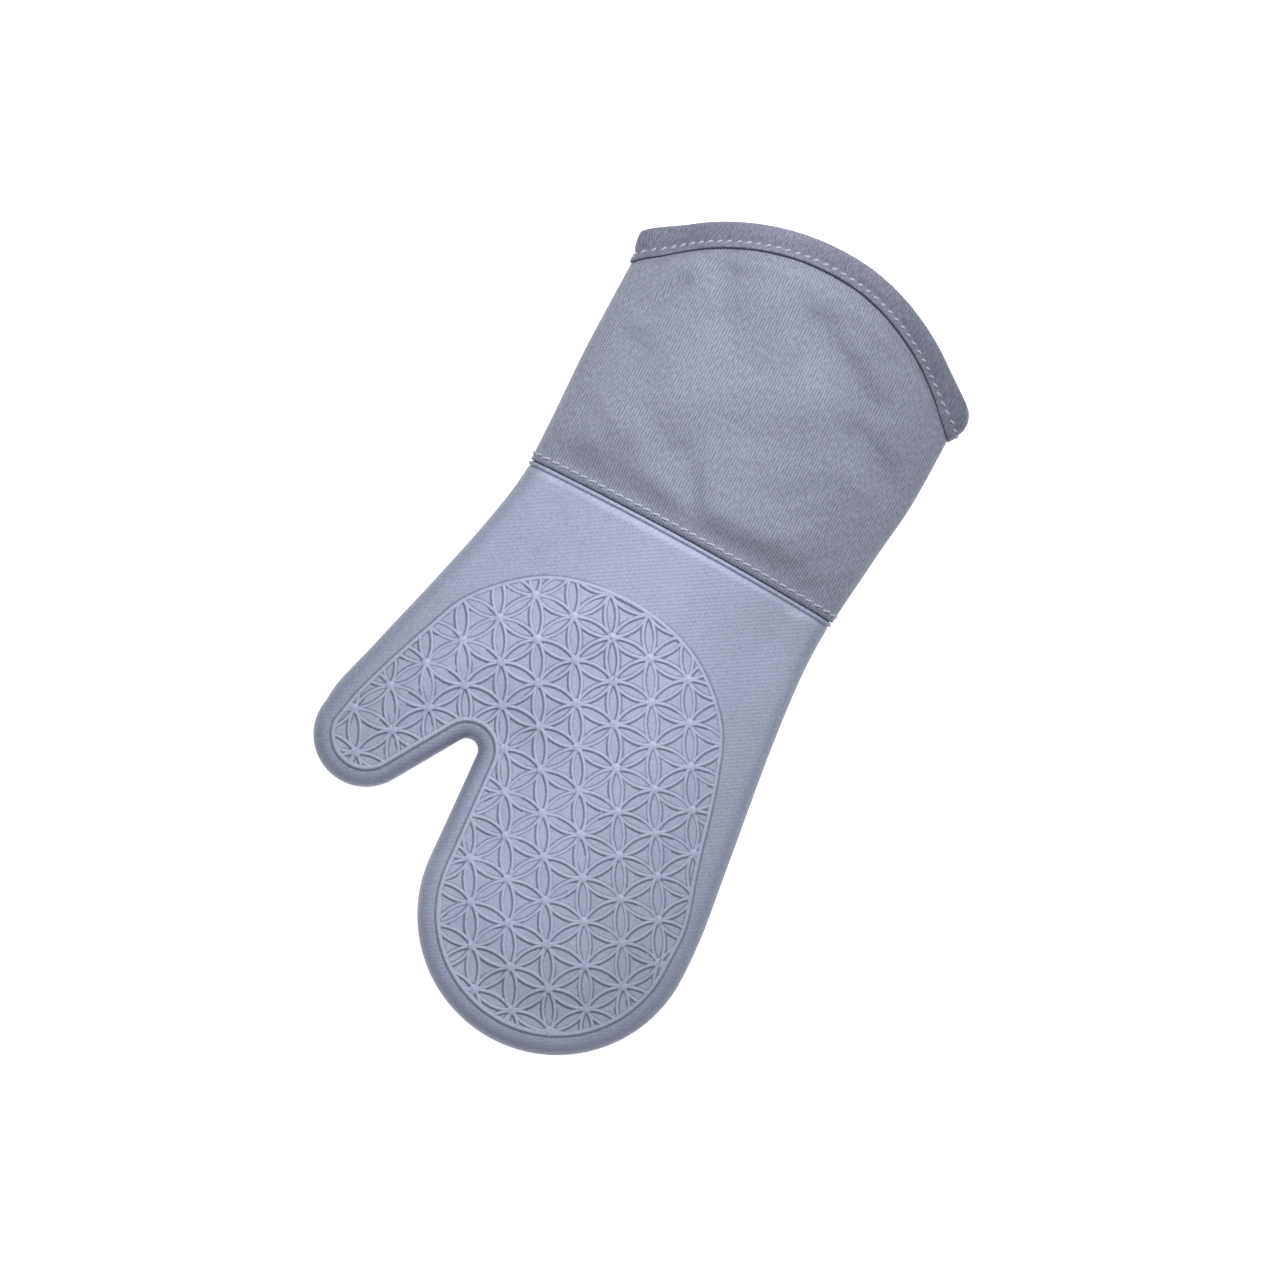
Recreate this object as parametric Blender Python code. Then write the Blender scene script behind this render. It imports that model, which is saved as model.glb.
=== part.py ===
"""Oven mitt lying flat: a moulded silicone glove, a sewn cloth cuff and a quilted cotton lining.

Units are metres. +Z is up, +Y runs from the finger end to the cuff mouth, and the thumb is on the -X side.
The origin is the centre of the underside. Every layer is a parallel offset of one outer skin. A depth of 0 is
the silicone's outer face, a larger depth lies further inside, and a negative depth stands proud of it.
"""

import math

import bmesh
import bpy
from mathutils import Vector
from mathutils.geometry import delaunay_2d_cdt, intersect_point_line

MM = 0.001

# Outline seen from above: three circles (centre x, centre y, radius) and two long sides (y, x).
FINGER_END = (36.25 * MM, -126.5 * MM, 61 * MM)
THUMB_END = (-74.25 * MM, -96 * MM, 23 * MM)
CROTCH = (-32.5 * MM, -81.5 * MM, 5 * MM)
THUMB_SIDE_ANGLE = 166.0
THUMB_SIDE = [
    (-90.4 * MM, -96.6 * MM),
    (-60 * MM, -89.7 * MM),
    (-25 * MM, -80.3 * MM),
    (10 * MM, -71.6 * MM),
    (37 * MM, -66.9 * MM),
    (60 * MM, -66.8 * MM),
    (100 * MM, -68.2 * MM),
    (160 * MM, -67.8 * MM),
]
LITTLE_SIDE = [
    (-126.5 * MM, 97.25 * MM),
    (-105 * MM, 96.2 * MM),
    (-75 * MM, 92.2 * MM),
    (-10 * MM, 83.6 * MM),
    (30 * MM, 81.1 * MM),
    (75 * MM, 84.9 * MM),
    (105 * MM, 88.2 * MM),
    (160 * MM, 88.5 * MM),
]

# Mouth of the cuff: one circular arch, and the shallow arch where the cuff meets the glove.
MOUTH_ARCH = (10.6 * MM, 73.5 * MM, 114 * MM)
JOIN_TOP = (-10 * MM, 42 * MM)
JOIN_CURVE = 0.295

# Heights. The edge is a half round, and the upper side is domed over it.
GLOVE_EDGE_RADIUS = 11 * MM
MOUTH_EDGE_RADIUS = 7.5 * MM
GLOVE_DOME = 5 * MM
MOUTH_DOME = 15 * MM
DOME_REACH = 75 * MM
CUFF_LIFT = 3 * MM

# Layers, as depths below the silicone's outer face.
GAP = 0.3 * MM
SILICONE = 1.8 * MM
FLANGE_DEPTH = 0.7 * MM
LIP_HEIGHT = 0.5 * MM
GROOVE_DEPTH = 0.5 * MM
CLOTH_PROUD = 0.6 * MM
CLOTH = 1.0 * MM
BATTING = (2.4 * MM, 4.6 * MM)
BATTING_AT_MOUTH = (0.7 * MM, 2.2 * MM)
LINING = (5.0 * MM, 5.8 * MM)
LINING_AT_MOUTH = (2.5 * MM, 3.3 * MM)
BINDING_OUTER = (-1.8 * MM, -0.9 * MM)
BINDING_INNER = (3.6 * MM, 4.5 * MM)

# Lengths along the mitt, measured from the join line or from the mouth's edge.
GLOVE_END = 2 * MM
LIP_START = 0.8 * MM
LIP_END = 1.6 * MM
FLANGE_LENGTH = 14 * MM
CUFF_START = 2.5 * MM
BINDING_WIDTH = 11 * MM
BINDING_ROUND = 0.6 * MM
LAYERS_END = 1.5 * MM
JOIN_STITCH = 5.5 * MM
BINDING_STITCH = 8.8 * MM
TAPER = (90 * MM, 138 * MM)
SIDE_SEAM = (60 * MM, 110 * MM)

# Threads, and the split between the upper and lower half of a layer.
THREAD_RADIUS = 0.35 * MM
LINING_THREAD_RADIUS = 0.25 * MM
SPLIT_ANGLE = 4.0

# Fineness of the faceted surfaces.
SIDE_STEPS = 9
FINGER_STEPS = 14
THUMB_STEPS = 10
CROTCH_STEPS = 6
EDGE_STEPS = 3
CROSS_STEPS = 10
CUFF_STEPS = 7
CAP_SPACING = 24 * MM
CAP_MARGIN = 9 * MM
WELD = 0.002 * MM

COLOURS = {
    "silicone": ((158, 164, 188), 0.5),
    "cuff_cloth": ((146, 151, 170), 0.85),
    "binding_cloth": ((134, 138, 156), 0.85),
    "thread": ((178, 183, 200), 0.7),
    "batting": ((228, 228, 224), 0.95),
    "lining": ((176, 180, 194), 0.9),
}


def smoothstep(value, low, high):
    """Runs from 0 at low to 1 at high, with flat ends."""
    share = min(1.0, max(0.0, (value - low) / (high - low)))
    return share * share * (3 - 2 * share)


def mix(a, b, share):
    """The value a share of the way from a to b."""
    return a + (b - a) * share


def side_x(stations, y):
    """Where a long side lies at y: a cubic through its stations, upright at its first one."""
    last = len(stations) - 1

    def slope(index):
        if index == 0 or index == last:
            return 0.0
        before, after = stations[index - 1], stations[index + 1]
        return (after[1] - before[1]) / (after[0] - before[0])

    y = min(max(y, stations[0][0]), stations[last][0])
    index = max(i for i in range(last) if stations[i][0] <= y)
    (y0, x0), (y1, x1) = stations[index], stations[index + 1]
    span, s = y1 - y0, (y - y0) / (y1 - y0)
    rise0, rise1 = slope(index) * span, slope(index + 1) * span
    bend = 2 * (x0 - x1) + rise0 + rise1
    return x0 + s * (rise0 + s * (3 * (x1 - x0) - 2 * rise0 - rise1 + s * bend))


def on_circle(circle, degrees):
    """The point of a circle at an angle."""
    x, y, radius = circle
    angle = math.radians(degrees)
    return Vector((x + radius * math.cos(angle), y + radius * math.sin(angle)))


def arc(circle, start, end, steps):
    """Points along a circle from one angle to another, both ends included."""
    return [on_circle(circle, mix(start, end, i / steps)) for i in range(steps + 1)]


def crossing_tangent(first, second, turn):
    """The direction, in degrees, of the straight line that touches two circles on opposite sides."""
    dx, dy = second[0] - first[0], second[1] - first[1]
    lean = math.asin((first[2] + second[2]) / math.hypot(dx, dy))
    return math.degrees(math.atan2(dy, dx) + turn * lean)


def mouth_line(inset):
    """The arch that lies inset below the mouth's edge, as a function of x."""
    centre_x, centre_y, radius = MOUTH_ARCH
    return lambda x: centre_y + math.sqrt((radius - inset) ** 2 - (x - centre_x) ** 2)


def join_line(offset):
    """The shallow arch that lies offset above the join of cuff and glove, as a function of x."""
    top_x, top_y = JOIN_TOP
    return lambda x: top_y + offset - JOIN_CURVE * (x - top_x) ** 2


def between_lines(low, high, share):
    """The line that lies a share of the way from one line to another."""
    return lambda x: mix(low(x), high(x), share)


def cuff_lines():
    """The lines across the cuff where its layers have points, from the glove's lip to the mouth."""
    low, high = join_line(FLANGE_LENGTH), mouth_line(BINDING_WIDTH)
    lines = [between_lines(low, high, i / CUFF_STEPS) for i in range(CUFF_STEPS + 1)]
    return [join_line(CUFF_START), join_line(JOIN_STITCH), *lines, mouth_line(LAYERS_END)]


def side_point(stations, line):
    """The point where a line across the mitt meets a long side."""
    guess = stations[-1][1]
    for _ in range(4):
        guess = side_x(stations, line(guess))
    return Vector((guess, line(guess)))


def outline(line):
    """The mitt's edge from a line across it, down round thumb, crotch and fingers, and back up to the line."""
    left, right = side_point(THUMB_SIDE, line), side_point(LITTLE_SIDE, line)
    left_low, right_low = THUMB_SIDE[0][0], LITTLE_SIDE[0][0]
    to_crotch = crossing_tangent(THUMB_END, CROTCH, 1)
    to_fingers = crossing_tangent(CROTCH, FINGER_END, -1)
    steps = round(SIDE_STEPS * (left.y - left_low) / (JOIN_TOP[1] - left_low))
    points = [left]
    for i in range(1, steps):
        y = mix(left.y, left_low, i / steps)
        points.append(Vector((side_x(THUMB_SIDE, y), y)))
    points.append(on_circle(THUMB_END, THUMB_SIDE_ANGLE))
    points += arc(THUMB_END, 180, 270, THUMB_STEPS // 2)
    points += arc(THUMB_END, 270, 270 + to_crotch, THUMB_STEPS // 3)[1:]
    points += arc(CROTCH, 90 + to_crotch, 90 + to_fingers, CROTCH_STEPS)
    points += arc(FINGER_END, 270 + to_fingers, 270, FINGER_STEPS // 2)
    points += arc(FINGER_END, 270, 360, FINGER_STEPS // 2)[1:]
    for i in range(1, steps):
        y = mix(right_low, right.y, i / steps)
        points.append(Vector((side_x(LITTLE_SIDE, y), y)))
    return points + [right]


def inward_normals(points):
    """The direction into the mitt at each point of its edge. The two ends point straight across."""
    normals = [Vector((1, 0))]
    for before, after in zip(points, points[2:]):
        along = (after - before).normalized()
        normals.append(Vector((-along.y, along.x)))
    return normals + [Vector((-1, 0))]


def edge_radius(y):
    """Radius of the half-round edge, smaller where the cuff's sides pinch together."""
    return mix(GLOVE_EDGE_RADIUS, MOUTH_EDGE_RADIUS, smoothstep(y, 60 * MM, 150 * MM))


def base_z(y):
    """Height of the underside: flat under the glove, lifted under the cuff by the binding it rests on."""
    return CUFF_LIFT * smoothstep(y, -5 * MM, 75 * MM)


def distance_to_edge(x, y):
    """Distance from a point to the mitt's edge."""
    point = Vector((x, y))
    best = DOME_REACH
    for a, b in zip(WHOLE_EDGE, WHOLE_EDGE[1:]):
        nearest, share = intersect_point_line(point, a, b)
        nearest = a if share < 0 else b if share > 1 else nearest.to_2d()
        best = min(best, (point - nearest).length)
    return best


def dome(x, y):
    """Extra height of the upper side over its edge."""
    radius = edge_radius(y)
    height = mix(GLOVE_DOME, MOUTH_DOME, smoothstep(y, 30 * MM, MOUTH_ARCH[1] + MOUTH_ARCH[2]))
    share = min(1.0, max(0.0, (distance_to_edge(x, y) - radius) / (DOME_REACH - radius)))
    return height * (1 - (1 - share) ** 2)


def face_z(x, y, depth, upper):
    """Height of the upper or lower face of a layer over a point."""
    if upper:
        return base_z(y) + 2 * edge_radius(y) + dome(x, y) - depth
    return base_z(y) + depth


def edge_point(point, normal, depth, degrees, upper):
    """A point on the half-round edge: 0 degrees is its outermost line, 90 its meeting with a face."""
    radius = edge_radius(point.y)
    angle = math.radians(degrees)
    inset = radius - (radius - depth) * math.cos(angle)
    rise = (radius - depth) * math.sin(angle)
    flat = point + normal * inset
    height = base_z(point.y) + radius + (rise if upper else -rise)
    return Vector((flat.x, flat.y, height))


def edge_angles(whole):
    """The angles at which the half-round edge is cut, from its face down to the split or to its middle."""
    angles = [90.0 * (EDGE_STEPS - i) / EDGE_STEPS for i in range(EDGE_STEPS)]
    return angles + ([SPLIT_ANGLE, 0.0] if whole else [SPLIT_ANGLE])


def layer_depth(glove, mouth, y):
    """Depth of a padded layer's face, which thins out towards the bound mouth."""
    return mix(glove, mouth, smoothstep(y, *TAPER))


def cross_row(line, depth_at, whole, upper):
    """A row of points across the mitt along a line: up the left edge, over the face, down the right edge."""
    left, right = side_point(THUMB_SIDE, line), side_point(LITTLE_SIDE, line)
    angles = edge_angles(whole)
    row = [edge_point(left, Vector((1, 0)), depth_at(left.y), a, upper) for a in reversed(angles)]
    x0, x1 = left.x + edge_radius(left.y), right.x - edge_radius(right.y)
    for i in range(1, CROSS_STEPS):
        x = mix(x0, x1, i / CROSS_STEPS)
        y = line(x)
        row.append(Vector((x, y, face_z(x, y, depth_at(y), upper))))
    return row + [edge_point(right, Vector((-1, 0)), depth_at(right.y), a, upper) for a in angles]


def cap_triangles(rim):
    """Points and triangles that fill a closed flat rim, with a coarse grid of points inside it."""
    low = Vector((min(p.x for p in rim), min(p.y for p in rim)))
    high = Vector((max(p.x for p in rim), max(p.y for p in rim)))
    inner = []
    for column in range(1, math.ceil((high.x - low.x) / CAP_SPACING)):
        for row in range(1, math.ceil((high.y - low.y) / CAP_SPACING)):
            point = low + Vector((column, row)) * CAP_SPACING
            if inside(point, rim) and clearance(point, rim) > CAP_MARGIN:
                inner.append(point)
    count = len(rim)
    edges = [(i, (i + 1) % count) for i in range(count)]
    points, _, faces, _, _, _ = delaunay_2d_cdt(rim + inner, edges, [], 1, WELD)
    return points, faces


def inside(point, rim):
    """True if a point lies inside a closed rim."""
    crossings = 0
    for a, b in zip(rim, rim[1:] + rim[:1]):
        if (a.y > point.y) != (b.y > point.y):
            crossings += point.x < a.x + (point.y - a.y) * (b.x - a.x) / (b.y - a.y)
    return crossings % 2 == 1


def clearance(point, rim):
    """Distance from a point to the nearest corner of a rim."""
    return min((point - corner).length for corner in rim)


def bridge(bm, first, second, closed=False):
    """Four-sided faces between two rows of vertices."""
    pairs = list(zip(first, second))
    following = pairs[1:] + (pairs[:1] if closed else [])
    for (a, b), (d, c) in zip(pairs, following):
        bm.faces.new((a, b, c, d))


def add_row(bm, points):
    """New vertices at a row of points."""
    return [bm.verts.new(p) for p in points]


def half_bag(bm, line, depth_at, whole, upper):
    """One half of a mitt-shaped bag, closed round the hand and open along a line across the mitt.

    Returns its vertices along the split and its vertices along the opening.
    """
    edge = outline(line)
    normals = inward_normals(edge)
    rows = []
    angles = edge_angles(whole)
    for angle in angles:
        rows.append(add_row(bm, [edge_point(p, n, depth_at(p.y), angle, upper) for p, n in zip(edge, normals)]))
    for upper_row, lower_row in zip(rows, rows[1:]):
        bridge(bm, upper_row, lower_row)
    opening = cross_row(line, depth_at, whole, upper)[len(angles) : -len(angles)]
    across = add_row(bm, opening)
    rim_verts = rows[0] + across[::-1]
    points, faces = cap_triangles([v.co.to_2d() for v in rim_verts])
    verts = list(rim_verts)
    for p in points[len(rim_verts) :]:
        verts.append(bm.verts.new((p.x, p.y, face_z(p.x, p.y, depth_at(p.y), upper))))
    for face in faces:
        bm.faces.new([verts[i] for i in face])
    left = [row[0] for row in reversed(rows)]
    right = [row[-1] for row in rows]
    return rows[-1], left + across + right


def finish_solid(bm, name, material):
    """Welds a closed surface, points its faces outwards and puts it in a named object."""
    bmesh.ops.remove_doubles(bm, verts=bm.verts, dist=WELD)
    bmesh.ops.triangulate(bm, faces=bm.faces, quad_method="SHORT_EDGE")
    bmesh.ops.recalc_face_normals(bm, faces=bm.faces)
    mesh = bpy.data.meshes.new(name)
    bm.to_mesh(mesh)
    bm.free()
    mesh.shade_smooth()
    mesh.set_sharp_from_angle(angle=math.radians(40))
    mesh.materials.append(material)
    piece = bpy.data.objects.new(name, mesh)
    bpy.context.scene.collection.objects.link(piece)
    return piece


def glove(material):
    """The moulded glove: a bag with a lip round its wrist and a thin flange that the cuff is sewn to."""
    bm = bmesh.new()
    collar = [
        (GLOVE_END - LIP_END - LIP_START, GROOVE_DEPTH),
        (GLOVE_END - LIP_END, -LIP_HEIGHT),
        (GLOVE_END - LIP_END / 4, -LIP_HEIGHT),
        (GLOVE_END, FLANGE_DEPTH),
        (FLANGE_LENGTH, FLANGE_DEPTH),
        (FLANGE_LENGTH, SILICONE),
        (GLOVE_END, SILICONE),
    ]
    for upper in (True, False):
        _, outer = half_bag(bm, join_line(-LIP_START), lambda y: 0.0, True, upper)
        _, inner = half_bag(bm, join_line(-LIP_START), lambda y: SILICONE, True, upper)
        rows = [outer]
        for offset, depth in collar:
            rows.append(add_row(bm, cross_row(join_line(offset), lambda y: depth, True, upper)))
        rows.append(inner)
        for first, second in zip(rows, rows[1:]):
            bridge(bm, first, second)
    return finish_solid(bm, "silicone_glove", material)


def padded_half(name, glove_depths, mouth_depths, upper, material):
    """One half of a padded inner layer, from the finger end to the mouth, with its cut edge along the seam."""
    bm = bmesh.new()
    edges, openings = [], []
    for at_glove, at_mouth in zip(glove_depths, mouth_depths):
        depth_at = lambda y: layer_depth(at_glove, at_mouth, y)
        seam, opening = half_bag(bm, join_line(-LIP_START), depth_at, False, upper)
        rows = [opening]
        for line in cuff_lines():
            rows.append(add_row(bm, cross_row(line, depth_at, False, upper)))
        for first, second in zip(rows, rows[1:]):
            bridge(bm, first, second)
        up_left, up_right = [row[0] for row in rows[1:]], [row[-1] for row in rows[1:]]
        edges.append(up_left[::-1] + seam + up_right)
        openings.append(rows[-1])
    bridge(bm, *edges)
    bridge(bm, *openings)
    return finish_solid(bm, name, material)


def cuff_panel(name, upper, material):
    """One cloth panel of the cuff, from the glove's lip to the bound mouth."""
    bm = bmesh.new()
    faces = []
    for depth in (-CLOTH_PROUD, CLOTH - CLOTH_PROUD):
        rows = []
        for line in cuff_lines():
            rows.append(add_row(bm, cross_row(line, lambda y: depth, False, upper)))
        for first, second in zip(rows, rows[1:]):
            bridge(bm, first, second)
        faces.append(rows)
    outer, inner = faces
    bridge(bm, outer[0], inner[0])
    bridge(bm, outer[-1], inner[-1])
    for end in (0, -1):
        bridge(bm, [row[end] for row in outer], [row[end] for row in inner])
    return finish_solid(bm, name, material)


def binding(material):
    """The tape folded over the mouth's edge, a channel that runs all the way round the mouth."""
    bm = bmesh.new()
    outer, outer_back = BINDING_OUTER
    inner_back, inner = BINDING_INNER
    fold = LAYERS_END - GAP
    profile = [
        (BINDING_WIDTH, outer),
        (BINDING_STITCH, outer),
        (2 * BINDING_ROUND, outer),
        (0.0, outer + 2 * BINDING_ROUND),
        (0.0, inner - 2 * BINDING_ROUND),
        (2 * BINDING_ROUND, inner),
        (BINDING_WIDTH, inner),
        (BINDING_WIDTH, inner_back),
        (fold, inner_back),
        (fold, outer_back),
        (BINDING_WIDTH, outer_back),
    ]
    for upper in (True, False):
        rows = []
        for inset, depth in profile:
            rows.append(add_row(bm, cross_row(mouth_line(inset), lambda y: depth, True, upper)))
        for first, second in zip(rows, rows[1:] + rows[:1]):
            bridge(bm, first, second)
    return finish_solid(bm, "binding_tape", material)


def thread(name, points, radius, closed, material):
    """A sewing thread as a thin round tube through its points."""
    curve = bpy.data.curves.new(name, "CURVE")
    curve.dimensions = "3D"
    curve.bevel_depth = radius
    curve.bevel_resolution = 1
    curve.use_fill_caps = not closed
    spline = curve.splines.new("POLY")
    spline.points.add(len(points) - 1)
    for target, point in zip(spline.points, points):
        target.co = (*point, 1)
    spline.use_cyclic_u = closed
    curve.materials.append(material)
    piece = bpy.data.objects.new(name, curve)
    bpy.context.scene.collection.objects.link(piece)
    return piece


def thread_round(name, line, surface, material):
    """A thread that runs all the way round the cuff, just proud of a surface."""
    depth = surface - GAP - THREAD_RADIUS
    upper = cross_row(line, lambda y: depth, True, True)
    lower = cross_row(line, lambda y: depth, True, False)
    return thread(name, upper + lower[-2:0:-1], THREAD_RADIUS, True, material)


def side_seam(name, stations, inward, material):
    """The thread of one side seam of the cuff, just inside the edge where the two panels meet."""
    depth = CLOTH - CLOTH_PROUD + GAP + THREAD_RADIUS
    points = []
    for i in range(CUFF_STEPS + 1):
        y = mix(*SIDE_SEAM, i / CUFF_STEPS)
        edge = Vector((side_x(stations, y), y))
        points.append(edge_point(edge, Vector((inward, 0)), depth, 0.0, True))
    return thread(name, points, THREAD_RADIUS, False, material)


def lining_seam(material):
    """The thread that joins the two halves of the lining, between their cut edges."""
    edge = outline(mouth_line(BINDING_WIDTH + LAYERS_END))
    points = []
    for point, normal in zip(edge, inward_normals(edge)):
        depth = layer_depth(sum(BATTING) / 2, sum(BATTING_AT_MOUTH) / 2, point.y)
        points.append(edge_point(point, normal, depth, 0.0, True))
    return thread("lining_seam", points, LINING_THREAD_RADIUS, False, material)


def linear(channel):
    """A display colour channel from 0 to 255, as a linear value."""
    value = channel / 255
    return value / 12.92 if value <= 0.04045 else ((value + 0.055) / 1.055) ** 2.4


def make_material(name):
    """A plain material with the colour and roughness of its sub-part."""
    colour, roughness = COLOURS[name]
    material = bpy.data.materials.new(name)
    material.use_nodes = True
    shader = material.node_tree.nodes["Principled BSDF"]
    shader.inputs["Base Color"].default_value = (*[linear(c) for c in colour], 1.0)
    shader.inputs["Roughness"].default_value = roughness
    shader.inputs["Metallic"].default_value = 0.0
    return material


def clear_scene():
    """Removes everything that the scene starts with."""
    for item in list(bpy.data.objects):
        bpy.data.objects.remove(item)


def build():
    """Makes every piece of the mitt."""
    finish = {name: make_material(name) for name in COLOURS}
    glove(finish["silicone"])
    for half, upper in (("upper", True), ("lower", False)):
        cuff_panel("cuff_panel_" + half, upper, finish["cuff_cloth"])
        padded_half("batting_" + half, BATTING, BATTING_AT_MOUTH, upper, finish["batting"])
        padded_half("lining_" + half, LINING, LINING_AT_MOUTH, upper, finish["lining"])
    binding(finish["binding_cloth"])
    thread_round("cuff_join_stitching", join_line(JOIN_STITCH), -CLOTH_PROUD, finish["thread"])
    thread_round("binding_stitching", mouth_line(BINDING_STITCH), BINDING_OUTER[0], finish["thread"])
    side_seam("side_seam_thumb_side", THUMB_SIDE, 1, finish["thread"])
    side_seam("side_seam_little_finger_side", LITTLE_SIDE, -1, finish["thread"])
    lining_seam(finish["thread"])


clear_scene()
WHOLE_EDGE = outline(mouth_line(0.0))
build()
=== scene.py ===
"""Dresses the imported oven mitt: moulded silicone glove, twill cuff, bound mouth, stitching and quilted lining.

Every length is in metres in the row frame: +Z up, +Y from the finger end to the cuff mouth, thumb on -X.
Each layer is a parallel offset of one outer skin, and its depth is how far it lies below that skin.
"""

import logging
import math
from dataclasses import dataclass, field
from enum import Enum
from typing import Any, Callable, Sequence

import bmesh
import bpy
import numpy as np
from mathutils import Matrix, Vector, noise
from mathutils.geometry import delaunay_2d_cdt


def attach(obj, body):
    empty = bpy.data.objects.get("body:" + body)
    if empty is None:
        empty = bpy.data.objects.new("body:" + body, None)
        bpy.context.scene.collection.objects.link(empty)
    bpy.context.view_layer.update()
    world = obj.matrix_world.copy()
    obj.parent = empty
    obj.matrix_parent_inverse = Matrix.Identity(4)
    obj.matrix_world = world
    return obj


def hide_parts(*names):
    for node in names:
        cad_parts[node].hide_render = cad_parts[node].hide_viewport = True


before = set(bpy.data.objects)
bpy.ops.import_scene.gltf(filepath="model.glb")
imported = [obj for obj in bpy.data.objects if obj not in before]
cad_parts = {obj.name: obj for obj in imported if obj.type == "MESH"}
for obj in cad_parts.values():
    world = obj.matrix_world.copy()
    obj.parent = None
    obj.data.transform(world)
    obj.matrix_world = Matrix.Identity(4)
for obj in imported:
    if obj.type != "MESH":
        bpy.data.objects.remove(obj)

LOG = logging.getLogger("oven_mitt")
MM = 0.001
WELD = 0.004 * MM
BODY = "root"
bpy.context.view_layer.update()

Line = Callable[[np.ndarray], np.ndarray]
Depth = Callable[[np.ndarray, float], np.ndarray]


class Half(Enum):
    """The two halves of every layer."""

    UPPER = 1
    LOWER = -1


# ---------------------------------------------------------------- the mitt's form


def smoothstep(value: Any, low: float, high: float) -> np.ndarray:
    """Runs from 0 at low to 1 at high, with flat ends."""
    share = np.clip((np.asarray(value, float) - low) / (high - low), 0.0, 1.0)
    return share * share * (3 - 2 * share)


def mix(a: Any, b: Any, share: Any) -> Any:
    """The value a share of the way from a to b."""
    return a + (b - a) * share


@dataclass(frozen=True)
class Circle:
    """A circle of the outline, seen from above."""

    x: float
    y: float
    radius: float

    def at(self, degrees: Any) -> np.ndarray:
        """Points of the circle at some angles."""
        angle = np.radians(np.atleast_1d(degrees))
        return np.stack([self.x + self.radius * np.cos(angle), self.y + self.radius * np.sin(angle)], 1)

    def arc(self, start: float, end: float, spacing: float) -> np.ndarray:
        """Evenly spaced points from one angle to another, both included."""
        length = abs(math.radians(end - start)) * self.radius
        return self.at(np.linspace(start, end, max(4, round(length / spacing)) + 1))

    def resized(self, radius: float) -> "Circle":
        """The same centre with another radius."""
        return Circle(self.x, self.y, radius)

    def crossing_tangent(self, other: "Circle", turn: int) -> float:
        """Direction, in degrees, of the straight line that touches both circles on opposite sides.

        Args:
            other: the other circle.
            turn: 1 or -1, for one or the other of the two crossing lines.

        Returns:
            The direction.
        """
        dx, dy = other.x - self.x, other.y - self.y
        lean = math.asin((self.radius + other.radius) / math.hypot(dx, dy))
        return math.degrees(math.atan2(dy, dx) + turn * lean)


@dataclass(frozen=True)
class LongSide:
    """One long side of the outline as a smooth curve of x over y, through a few stations (y, x)."""

    stations: tuple[tuple[float, float], ...]

    @property
    def lowest(self) -> float:
        """The y at which the side meets its end circle."""
        return self.stations[0][0]

    def x(self, y: Any) -> np.ndarray:
        """Where the side lies at some heights y.

        Args:
            y: places along the mitt.

        Returns:
            Places across the mitt.
        """
        ys, xs = np.array(self.stations).T
        y = np.clip(np.asarray(y, float), ys[0], ys[-1])
        slope = np.zeros(len(ys))
        slope[1:-1] = (xs[2:] - xs[:-2]) / (ys[2:] - ys[:-2])
        i = np.clip(np.searchsorted(ys, y, side="right") - 1, 0, len(ys) - 2)
        span = ys[i + 1] - ys[i]
        s = (y - ys[i]) / span
        rise0, rise1 = slope[i] * span, slope[i + 1] * span
        bend = 2 * (xs[i] - xs[i + 1]) + rise0 + rise1
        return xs[i] + s * (rise0 + s * (3 * (xs[i + 1] - xs[i]) - 2 * rise0 - rise1 + s * bend))

    def meet(self, line: Line) -> np.ndarray:
        """The point where a line across the mitt meets the side.

        Args:
            line: the line across the mitt.

        Returns:
            The point.
        """
        x = np.array([self.stations[-1][1]])
        for _ in range(6):
            x = self.x(line(x))
        return np.array([x[0], line(x)[0]])


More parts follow.
